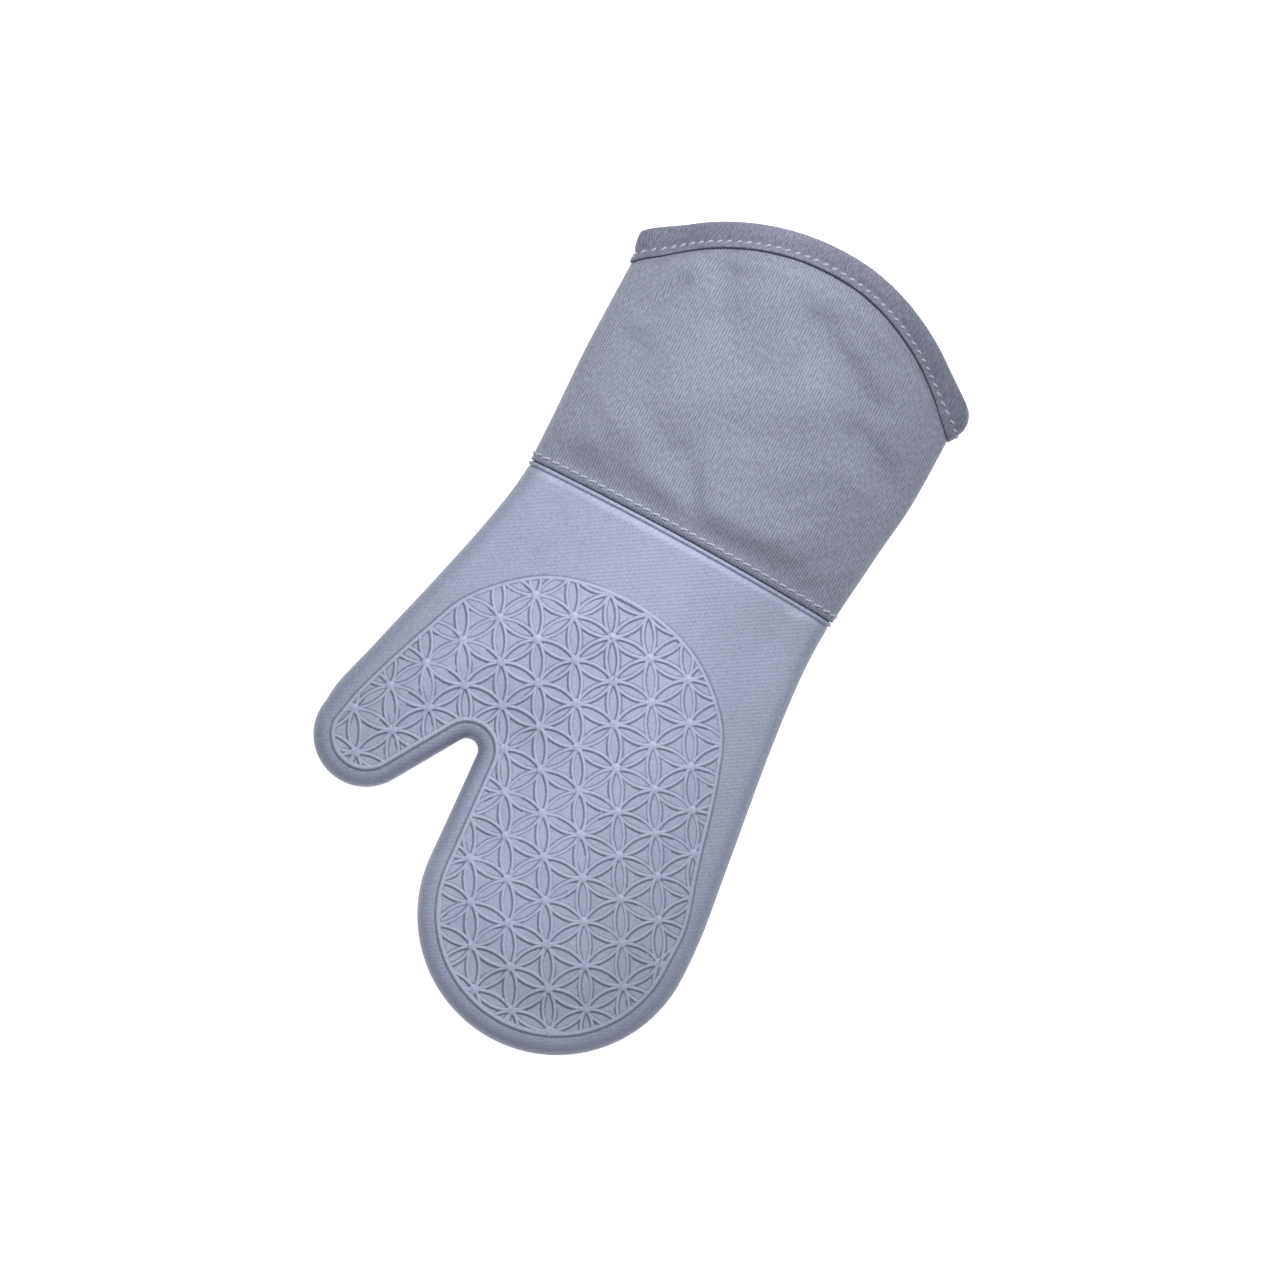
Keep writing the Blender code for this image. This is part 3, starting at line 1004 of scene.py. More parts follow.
@dataclass(frozen=True)
class ThreadFinish:
    """Light sewing thread with a fine twist."""

    tone: tuple[float, ...] = colour(196, 200, 214)
    ply: float = 0.5 * MM

    def material(self) -> bpy.types.Material:
        """Builds the material.

        Returns:
            The material.
        """
        made, graph, shader = start_material("thread")
        place = graph.node("ShaderNodeTexCoord").outputs["Object"]
        x, y = graph.split(place)
        twist = ((x + y) / self.ply).wave()
        tint = graph.blend(twist, scaled(self.tone, 0.86), scaled(self.tone, 1.05))
        surface(graph, shader, tint, 0.7, twist, 0.05 * MM, 0.5)
        return made


@dataclass(frozen=True)
class BattingFinish:
    """Needled cotton batting: pale, rough and fibrous."""

    tone: tuple[float, ...] = colour(226, 225, 220)

    def material(self) -> bpy.types.Material:
        """Builds the material.

        Returns:
            The material.
        """
        made, graph, shader = start_material("batting")
        place = graph.node("ShaderNodeTexCoord").outputs["Object"]
        fibre = graph.smooth_noise(place, 500.0, 5.0)
        tint = graph.blend(fibre, scaled(self.tone, 0.8), scaled(self.tone, 1.1))
        surface(graph, shader, tint, 0.95, fibre, 0.4 * MM, 0.7)
        return made


# ---------------------------------------------------------------- geometry trees


def geometry_tree(name: str, labels: dict[str, str]) -> tuple[Graph, dict[str, Any]]:
    """Starts a geometry tree with named inputs.

    Args:
        name: the tree's name.
        labels: each input's name and its kind of socket.

    Returns:
        The graph and its input sockets by name.
    """
    tree = bpy.data.node_groups.new(name, "GeometryNodeTree")
    for label, kind in {"Geometry": "Geometry", **labels}.items():
        tree.interface.new_socket(label, in_out="INPUT", socket_type="NodeSocket" + kind)
    tree.interface.new_socket("Geometry", in_out="OUTPUT", socket_type="NodeSocketGeometry")
    graph = Graph(tree)
    start = graph.node("NodeGroupInput")
    return graph, {socket.name: socket for socket in start.outputs}


def end_tree(graph: Graph, geometry: Any, material: Any) -> bpy.types.NodeTree:
    """Ends a tree in real geometry with a material.

    Args:
        graph: the tree's graph.
        geometry: the socket of the geometry.
        material: the socket of the material.

    Returns:
        The finished tree.
    """
    real = graph.out("GeometryNodeRealizeInstances", None, {"Geometry": geometry})
    done = graph.out("GeometryNodeSetMaterial", None, {"Geometry": real, "Material": material})
    graph.node("NodeGroupOutput", None, {"Geometry": done})
    return graph.tree


def grow(name: str, base: bpy.types.Object, tree: bpy.types.NodeTree, values: dict[str, Any]) -> bpy.types.Object:
    """Runs a tree on a base object and keeps the result as a plain mesh.

    Args:
        name: the new piece's name.
        base: the object the tree starts from, which is used up.
        tree: the geometry tree.
        values: the tree's inputs by name.

    Returns:
        The new piece.
    """
    modifier = base.modifiers.new(name, "NODES")
    modifier.node_group = tree
    for item in tree.interface.items_tree:
        if item.in_out == "INPUT" and item.name in values:
            modifier[item.identifier] = values[item.name]
    depsgraph = bpy.context.evaluated_depsgraph_get()
    mesh = bpy.data.meshes.new_from_object(base.evaluated_get(depsgraph))
    base.modifiers.remove(modifier)
    bpy.data.objects.remove(base)
    bm = bmesh.new()
    bm.from_mesh(mesh)
    bmesh.ops.recalc_face_normals(bm, faces=bm.faces)
    bm.to_mesh(mesh)
    bm.free()
    mesh.shade_smooth()
    return link(name, mesh)


def wire(name: str, paths: Sequence[np.ndarray], outward: Sequence[np.ndarray], closed: bool) -> bpy.types.Object:
    """A mesh of edges along paths, with the direction away from the surface kept at each point.

    Args:
        name: its name.
        paths: the paths' points.
        outward: the direction away from the surface at each point.
        closed: whether each runs round to its start.

    Returns:
        The new object.
    """
    points, edges, count = [], [], 0
    for path in paths:
        numbers = range(count, count + len(path))
        points += path.tolist()
        edges += list(zip(numbers, numbers[1:]))
        edges += [(numbers[-1], numbers[0])] if closed else []
        count += len(path)
    mesh = bpy.data.meshes.new(name)
    mesh.from_pydata(points, edges, [])
    away = mesh.attributes.new("outward", "FLOAT_VECTOR", "POINT")
    away.data.foreach_set("vector", np.concatenate(outward).ravel())
    return link(name, mesh)


class ReliefTree:
    """Raised circles on a triangular lattice, with a domed hub at each crossing and a ridge round the rim.

    PROFILE is the ridge's section: across as a share of half its width, up as a share of its height, and the
    painted shade there: a painted highlight on the top, painted shade in the corners at its foot and on the flat
    skirts either side, a thin sheet laid on the skin only to carry that painted shade.
    """

    STEPS = 180
    HUB_MARGIN = 3.0 * MM
    # painted shade: the skirts at ±1.80 are a thin sheet on the skin that carries painted shade, the corners at
    # ±1.12 and ±0.80 carry painted shade and the top a painted highlight
    PROFILE = (
        (-1.80, -0.50, 0.0),
        (-1.80, 0.03, -0.6),
        (-1.12, 0.05, -1.7),
        (-0.80, 0.75, -0.7),
        (-0.50, 0.97, 0.35),
        (0.50, 0.97, 0.35),
        (0.80, 0.75, -0.7),
        (1.12, 0.05, -1.7),
        (1.80, 0.03, -0.6),
        (1.80, -0.50, 0.0),
    )

    def __init__(self) -> None:
        """Builds the tree."""
        labels = {"Rim": "Object", "Spacing": "Float", "Rows": "Int", "Columns": "Int", "Middle": "Vector"}
        labels |= {"Row Pitch": "Float", "Lean": "Float", "Tilt": "Rotation"}
        labels |= {"Width": "Float", "Height": "Float", "Rim Width": "Float", "Hub Width": "Float"}
        labels |= {"Step": "Float", "Side": "Float", "Material": "Material"}
        self.graph, self.inputs = geometry_tree("relief", labels)
        self.side = Value(self.graph, self.inputs["Side"])
        info = self.graph.node("GeometryNodeObjectInfo", None, {"Object": self.inputs["Rim"]})
        self.rim = info.outputs["Geometry"]
        lattice = self._lattice()
        ridges = self._ridge(self._circles(lattice), self.inputs["Width"])
        outline = self.graph.out("GeometryNodeMeshToCurve", None, {"Mesh": self.rim})
        rim_ridge = self._ridge(outline, self.inputs["Rim Width"])
        parts = self.graph.node("GeometryNodeJoinGeometry")
        for part in (ridges, rim_ridge, self._hubs(lattice)):
            self.graph.tree.links.new(part, parts.inputs[0])
        self.tree = end_tree(self.graph, parts.outputs[0], self.inputs["Material"])

    def _lattice(self) -> Any:
        """Points of the triangular lattice, whose rows run along X.

        Returns:
            The socket of the points.
        """
        graph, spacing = self.graph, Value(self.graph, self.inputs["Spacing"])
        labels = ("Row Pitch", "Lean", "Rows", "Columns")
        rise, lean, rows, columns = (Value(graph, self.inputs[label]) for label in labels)
        sizes = {"Size X": spacing * (columns - 1), "Size Y": rise * (rows - 1)}
        counts = {"Vertices X": self.inputs["Columns"], "Vertices Y": self.inputs["Rows"]}
        grid = graph.out("GeometryNodeMeshGrid", None, {**sizes, **counts})
        row = graph.value("GeometryNodeInputIndex").remainder(rows)
        shift = row.remainder(2.0) * spacing * 0.5 + (row - (rows - 1) * 0.5) * lean
        offset = graph.out("ShaderNodeCombineXYZ", None, {"X": shift})
        slid = {"Geometry": grid, "Offset": offset}
        shifted = graph.out("GeometryNodeSetPosition", None, slid)
        moved = {"Geometry": shifted, "Translation": self.inputs["Middle"], "Rotation": self.inputs["Tilt"]}
        placed = graph.out("GeometryNodeTransform", None, moved)
        return graph.out("GeometryNodeMeshToPoints", None, {"Mesh": placed})

    def _outside(self, margin: float = 0.0) -> Any:
        """True where a point, or one a margin above it in Y, lies outside the rim.

        Args:
            margin: how far above each point in Y the test is made.

        Returns:
            The socket of the test.
        """
        graph = self.graph
        place = graph.out("GeometryNodeInputPosition")
        lifted = graph.out("ShaderNodeVectorMath", {"operation": "ADD"}, {0: place, 1: (0, margin, 1)})
        rays = {"Source Position": lifted, "Ray Direction": (0, 0, -1)}
        hit = graph.node("GeometryNodeRaycast", None, {"Target Geometry": self.rim, **rays})
        return graph.out("FunctionNodeBooleanMath", {"operation": "NOT"}, {0: hit.outputs["Is Hit"]})

    def _circles(self, lattice: Any) -> Any:
        """Circles through the neighbours of every lattice point, cut off at the rim.

        Args:
            lattice: the lattice's points.

        Returns:
            The socket of the curves.
        """
        graph = self.graph
        sizes = {"Vertices": self.STEPS, "Radius": self.inputs["Spacing"]}
        circle = graph.out("GeometryNodeMeshCircle", None, sizes)
        copies = graph.out("GeometryNodeInstanceOnPoints", None, {"Points": lattice, "Instance": circle})
        real = graph.out("GeometryNodeRealizeInstances", None, {"Geometry": copies})
        kept = self._cut(real, self._outside())
        return graph.out("GeometryNodeMeshToCurve", None, {"Mesh": kept})

    def _cut(self, geometry: Any, selection: Any) -> Any:
        """Takes the selected points away."""
        chosen = {"Geometry": geometry, "Selection": selection}
        return self.graph.out("GeometryNodeDeleteGeometry", {"domain": "POINT"}, chosen)

    def _onto_skin(self, geometry: Any) -> Any:
        """Moves points straight onto the skin, from above or below.

        Args:
            geometry: the socket of the geometry.

        Returns:
            The socket of the moved geometry.
        """
        graph = self.graph
        x, y = graph.split(graph.out("GeometryNodeInputPosition"))
        start = graph.out("ShaderNodeCombineXYZ", None, {"X": x, "Y": y, "Z": self.side})
        down = graph.out("ShaderNodeCombineXYZ", None, {"Z": self.side * -1.0})
        rays = {"Source Position": start, "Ray Direction": down}
        hit = graph.node("GeometryNodeRaycast", None, {"Target Geometry": self.inputs["Geometry"], **rays})
        moved = {"Position": hit.outputs["Hit Position"], "Selection": hit.outputs["Is Hit"]}
        return graph.out("GeometryNodeSetPosition", None, {"Geometry": geometry, **moved})

    def _profile(self, width: Any) -> Any:
        """The ridge's cross section, with its flat bottom sunk into the skin.

        Args:
            width: the socket of the ridge's width.

        Returns:
            The socket of the section's curve.
        """
        graph, half = self.graph, Value(self.graph, width) * 0.5
        corners = {"Resolution": len(self.PROFILE), "Radius": 1.0}
        made = graph.out("GeometryNodeCurvePrimitiveCircle", {"mode": "RADIUS"}, corners)
        index = graph.value("GeometryNodeInputIndex")
        across, up, shade = 0.0, 0.0, 0.0
        for number, (x, y, tone) in enumerate(self.PROFILE):
            here = index.above(number - 0.5) * (1.0 - index.above(number + 0.5))
            across, up, shade = here * x + across, here * y + up, here * tone + shade
        height = Value(self.graph, self.inputs["Height"]) * self.side * -1.0
        corner = graph.out("ShaderNodeCombineXYZ", None, {"X": across * half, "Y": up * height})
        shaped = {"Geometry": made, "Position": corner}
        # the section carries PROFILE's painted highlight and painted shade
        return self._shaded(graph.out("GeometryNodeSetPosition", None, shaped), shade)

    def _shaded(self, geometry: Any, shade: Any) -> Any:
        """Keeps how light or dark each point is painted: 1 for a painted highlight on a top, -1 for painted shade
        in a corner.

        Args:
            geometry: the socket of the geometry.
            shade: how light or dark each point is.

        Returns:
            The socket of the shaded geometry.
        """
        kept = {"Geometry": geometry, "Name": "shade", "Value": shade}
        kind = {"data_type": "FLOAT", "domain": "POINT"}
        return self.graph.out("GeometryNodeStoreNamedAttribute", kind, kept)

    def _ridge(self, curves: Any, width: Any) -> Any:
        """Sweeps the ridge along curves on the skin.

        Args:
            curves: the curves to follow.
            width: the socket of the ridge's width.

        Returns:
            The socket of the ridges.
        """
        graph = self.graph
        steps = {"Curve": curves, "Length": self.inputs["Step"]}
        cut = graph.out("GeometryNodeResampleCurve", {"mode": "LENGTH"}, steps)
        laid = self._onto_skin(cut)
        level_curve = graph.out("GeometryNodeSetCurveNormal", {"mode": "Z_UP"}, {"Curve": laid})
        swept = {"Curve": level_curve, "Profile Curve": self._profile(width), "Fill Caps": True}
        return graph.out("GeometryNodeCurveToMesh", None, swept)

    def _hubs(self, lattice: Any) -> Any:
        """A low dome on every lattice point inside the rim, with a painted highlight on its top and painted shade
        down its sides.

        Args:
            lattice: the lattice's points.

        Returns:
            The socket of the hubs.
        """
        graph = self.graph
        placed = self._onto_skin(self._cut(lattice, self._outside(self.HUB_MARGIN)))
        sides = {"Vertices": 18, "Radius Top": 0.4, "Radius Bottom": 0.5, "Depth": 1.5}
        boss = graph.out("GeometryNodeMeshCone", None, sides)
        height = graph.node("ShaderNodeSeparateXYZ", None, {0: graph.out("GeometryNodeInputPosition")})
        # painted highlight on each hub's flat top (0.35) and painted shade down its sides (-1)
        shaded = self._shaded(boss, Value(graph, height.outputs["Z"]).above(0.75) * 1.35 - 1.0)
        sunk = graph.out("GeometryNodeTransform", None, {"Geometry": shaded, "Translation": (0.0, 0.0, -0.53)})
        wide, tall = self.inputs["Hub Width"], Value(graph, self.inputs["Height"]) * self.side
        size = graph.out("ShaderNodeCombineXYZ", None, {"X": wide, "Y": wide, "Z": tall})
        spots = {"Points": placed, "Instance": sunk, "Scale": size}
        copies = graph.out("GeometryNodeInstanceOnPoints", None, spots)
        return graph.out("GeometryNodeRealizeInstances", None, {"Geometry": copies})


class StitchTree:
    """Short bowed threads at even steps along paths, with both ends sunk into the cloth."""

    def __init__(self) -> None:
        """Builds the tree."""
        labels = {"Pitch": "Float", "Length": "Float", "Bow": "Float", "Sink": "Float", "Thread": "Float"}
        labels |= {"Wander": "Float", "Slant": "Float", "Seed": "Int", "Material": "Material"}
        graph, inputs = geometry_tree("stitches", labels)
        curves = graph.out("GeometryNodeMeshToCurve", None, {"Mesh": inputs["Geometry"]})
        steps = {"Curve": curves, "Length": inputs["Pitch"]}
        cut = graph.out("GeometryNodeResampleCurve", {"mode": "LENGTH"}, steps)
        points = graph.node("GeometryNodeCurveToPoints", {"mode": "EVALUATED"}, {"Curve": cut})
        away = graph.out("GeometryNodeInputNamedAttribute", {"data_type": "FLOAT_VECTOR"}, {"Name": "outward"})
        forward = {"Vector": points.outputs["Tangent"]}
        along = graph.out("FunctionNodeAlignRotationToVector", {"axis": "X"}, forward)
        up = {"Rotation": along, "Vector": away}
        turned = graph.out("FunctionNodeAlignRotationToVector", {"axis": "Z", "pivot_axis": "X"}, up)
        wander, slant = Value(graph, inputs["Wander"]), Value(graph, inputs["Slant"])
        draws = {2: slant - wander, 3: slant + wander, "Seed": inputs["Seed"]}
        yaw = graph.node("FunctionNodeRandomValue", {"data_type": "FLOAT"}, draws)
        twist = graph.out("FunctionNodeAxisAngleToRotation", None, {"Axis": (0, 0, 1), "Angle": yaw.outputs[1]})
        turns = {"Rotation": turned, "Rotate By": twist}
        facing = graph.out("FunctionNodeRotateRotation", {"rotation_space": "LOCAL"}, turns)
        length, bow, sink = (Value(graph, inputs[label]) for label in ("Length", "Bow", "Sink"))
        ends = [
            graph.out("ShaderNodeCombineXYZ", None, {"X": length * share, "Z": height})
            for share, height in ((-0.5, sink * -1.0), (0.0, bow * 2.0 + sink), (0.5, sink * -1.0))
        ]
        bow_path = {"Resolution": 6, "Start": ends[0], "Middle": ends[1], "End": ends[2]}
        bent = graph.out("GeometryNodeCurveQuadraticBezier", None, bow_path)
        section = {"Resolution": 6, "Radius": inputs["Thread"]}
        round_end = graph.out("GeometryNodeCurvePrimitiveCircle", {"mode": "RADIUS"}, section)
        swept = {"Curve": bent, "Profile Curve": round_end, "Fill Caps": True}
        stitch = graph.out("GeometryNodeCurveToMesh", None, swept)
        spots = {"Points": points.outputs[0], "Instance": stitch, "Rotation": facing}
        copies = graph.out("GeometryNodeInstanceOnPoints", None, spots)
        self.tree = end_tree(graph, copies, inputs["Material"])


# ---------------------------------------------------------------- sub-assemblies


@dataclass(frozen=True)
class Stitch:
    """One kind of stitch."""

    pitch: float = 4.8 * MM
    length: float = 3.2 * MM
    bow: float = 0.3 * MM
    sink: float = 0.3 * MM
    thread: float = 0.42 * MM
    wander: float = 0.08
    slant: float = 0.0
    seed: int = 7


@dataclass
class Workshop:
    """What every sub-assembly shares: the form, the finishes and the trees."""

    form: MittForm
    finishes: dict[str, bpy.types.Material]
    relief: bpy.types.NodeTree
    stitches: bpy.types.NodeTree

    def dress(self, piece: bpy.types.Object, slot: str, *nodes: str) -> bpy.types.Object:
        """Gives a piece its finish, in a material slot, and its body, and hides the CAD nodes it stands for.

        Args:
            piece: the piece.
            slot: the name of its finish.
            nodes: the CAD nodes it stands for.

        Returns:
            The same piece.
        """
        piece.data.materials.clear()
        piece.data.materials.append(self.finishes[slot])
        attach(piece, BODY)
        if nodes:
            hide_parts(*nodes)
        LOG.info("%s: %d faces, %s", piece.name, len(piece.data.polygons), slot)
        return piece

    def sew(
        self,
        name: str,
        paths: Sequence[np.ndarray],
        outward: Sequence[np.ndarray],
        stitch: Stitch,
        closed: bool = False,
    ) -> bpy.types.Object:
        """Makes a row of stitches along paths.

        Args:
            name: the piece's name.
            paths: the paths' points.
            outward: the direction away from the cloth at each point.
            stitch: the kind of stitch.
            closed: whether each path runs round to its start.

        Returns:
            The piece.
        """
        values = {"Pitch": stitch.pitch, "Length": stitch.length, "Bow": stitch.bow, "Sink": stitch.sink}
        values |= {"Thread": stitch.thread, "Wander": stitch.wander, "Slant": stitch.slant, "Seed": stitch.seed}
        return grow(name, wire(name, paths, outward, closed), self.stitches, values)


def ring(form: MittForm, line: Line, depth: Depth, angles: Sequence[float], steps: int) -> np.ndarray:
    """A closed row right round the cuff: over its upper side from the thumb side, and back underneath.

    Args:
        form: the mitt's form.
        line: the line across the mitt.
        depth: how deep it lies below the outer skin.
        angles: the angles at which the rounded edge is cut.
        steps: how many steps the face is cut into.

    Returns:
        The row's points.
    """
    upper = form.cross_row(line, depth, angles, steps, Half.UPPER)
    lower = form.cross_row(line, depth, angles, steps, Half.LOWER)
    return np.concatenate([upper, lower[-2:0:-1]])


def ring_outward(points: np.ndarray) -> np.ndarray:
    """Direction away from the cuff at each point of a closed row.

    Args:
        points: the points.

    Returns:
        One direction for each point.
    """
    along = np.roll(points, -1, axis=0) - np.roll(points, 1, axis=0)
    away = np.cross(np.array([0.0, 1.0, 0.0]), along)
    return -away / np.linalg.norm(away, axis=1)[:, None]


@dataclass
class Glove:
    """The moulded silicone glove: its thin-walled skin, its wrist bead and the relief on both faces."""

    shop: Workshop
    wall: float = 1.8 * MM
    bag_end: float = -0.8 * MM
    edge_spacing: float = 2.4 * MM
    face_spacing: float = 3.0 * MM
    cross_steps: int = 64
    edge_steps: int = 8
    spacing: float = 18.75 * MM
    row_pitch: float = 16.24 * MM
    lean: float = -0.32 * MM
    hub: tuple[float, float] = (0.5 * MM, -8.66 * MM)
    tilt: float = -1.08
    ridge_width: float = 1.5 * MM
    ridge_height: float = 0.44 * MM
    rim_width: float = 1.9 * MM
    hub_width: float = 5.2 * MM
    step: float = 1.5 * MM
    lattice_rows: int = 17
    lattice_columns: int = 15
    rows_to_hub: int = 4
    rim_spacing: float = 1.5 * MM
    border_spacing: float = 4 * MM
    # painted shade that darkens the skin towards its outer edge, and how far in it reaches
    painted_edge_shade: float = 1.0
    painted_edge_shade_reach: float = 7 * MM
    collar: tuple[tuple[float, float], ...] = (
        (-0.55, 0.35),
        (-0.30, 0.50),
        (-0.05, 0.35),
        (0.15, -0.10),
        (0.50, -0.60),
        (1.00, -0.80),
        (1.50, -0.60),
        (1.90, -0.05),
        (2.05, 0.70),
        (14.0, 0.70),
        (14.0, 1.80),
        (2.00, 1.80),
    )

    def build(self) -> None:
        """Makes the skin and both reliefs."""
        skin = self._skin()
        for half in Half:
            self._relief(skin, half)

    def _skin(self) -> bpy.types.Object:
        """The bag with its inner wall, bead and sewing flange.

        Returns:
            The skin.
        """
        form, shell = self.shop.form, Shell()
        line = form.join_line(self.bag_end)
        maker = BagMaker(form, line, self.edge_spacing, self.face_spacing, self.cross_steps, self.edge_steps)
        angles = edge_angles(self.edge_steps)
        for half in Half:
            outer = maker.half(shell, level(0.0), 0.0, half)[1]
            inner = maker.half(shell, level(self.wall), 0.0, half)[1]
            rows = [outer]
            for offset, depth in self.collar:
                place = form.join_line(offset * MM)
                rows.append(shell.add(form.cross_row(place, level(depth * MM), angles, self.cross_steps, half)))
            shell.stack([*rows, inner])
        skin = shell.build("glove_skin")
        self._mark_border(skin)
        return self.shop.dress(skin, "silicone", "silicone_glove")

    def _mark_border(self, skin: bpy.types.Object) -> None:
        """Marks where the skin lies outside the relief panel, for its knurl, and paints shade that darkens the
        skin towards its outer edge.

        Args:
            skin: the glove's skin.
        """
        points = np.empty(len(skin.data.vertices) * 3)
        skin.data.vertices.foreach_get("co", points)
        flat = points.reshape(-1, 3)[:, :2]
        outside = ~inside(flat, self.shop.form.panel(self.border_spacing))
        # painted shade: -1 at the skin's outer edge, fading to 0 over the reach
        painted_shading = smoothstep(self.shop.form.edge_distance(flat), 0, self.painted_edge_shade_reach) - 1
        for name, values in (("border", outside.astype(float)), ("shade", painted_shading * self.painted_edge_shade)):
            skin.data.attributes.new(name, "FLOAT", "POINT").data.foreach_set("value", values)

    def _relief(self, skin: bpy.types.Object, half: Half) -> None:
        """The raised circles on one face.

        Args:
            skin: the glove's skin.
            half: the upper or lower half.
        """
        rim = self.shop.form.panel(self.rim_spacing)
        flat = bpy.data.meshes.new("rim")
        flat.from_pydata([(*p, 0.0) for p in rim.tolist()], [], [tuple(range(len(rim)))])
        rim_object = link("rim", flat)
        base = link("relief_base", skin.data.copy())
        tilt = math.radians(self.tilt)
        side, drop = self.rows_to_hub * self.lean, self.rows_to_hub * self.row_pitch
        middle_x = self.hub[0] - side * math.cos(tilt) + drop * math.sin(tilt)
        middle_y = self.hub[1] - side * math.sin(tilt) - drop * math.cos(tilt)
        values = {"Rim": rim_object, "Spacing": self.spacing}
        values |= {"Rows": self.lattice_rows, "Columns": self.lattice_columns}
        values |= {"Middle": (middle_x, middle_y, 0.0), "Tilt": (0.0, 0.0, tilt)}
        values |= {"Row Pitch": self.row_pitch, "Lean": self.lean}
        values |= {"Width": self.ridge_width, "Height": self.ridge_height, "Rim Width": self.rim_width}
        values |= {"Hub Width": self.hub_width, "Step": self.step, "Side": float(half.value)}
        piece = grow(f"glove_relief_{half.name.lower()}", base, self.shop.relief, values)
        bpy.data.objects.remove(rim_object)
        self.shop.dress(piece, "silicone")


@dataclass(frozen=True)
class Fold:
    """A soft fold in the cuff's cloth: a valley, or a ridge where its depth is negative. Sizes in millimetres."""

    start: tuple[float, float]
    end: tuple[float, float]
    width: float
    depth: float

    def depth_at(self, xy: np.ndarray) -> np.ndarray:
        """How deep the fold presses each point.

        Args:
            xy: the flat points.

        Returns:
            One depth for each point.
        """
        start, along = np.array(self.start) * MM, (np.array(self.end) - np.array(self.start)) * MM
        share = np.clip((xy - start) @ along / (along @ along), 0, 1)
        gap = np.linalg.norm(xy - start - share[:, None] * along, axis=1)
        return self.depth * MM * np.exp(-((gap / (self.width * MM)) ** 2))


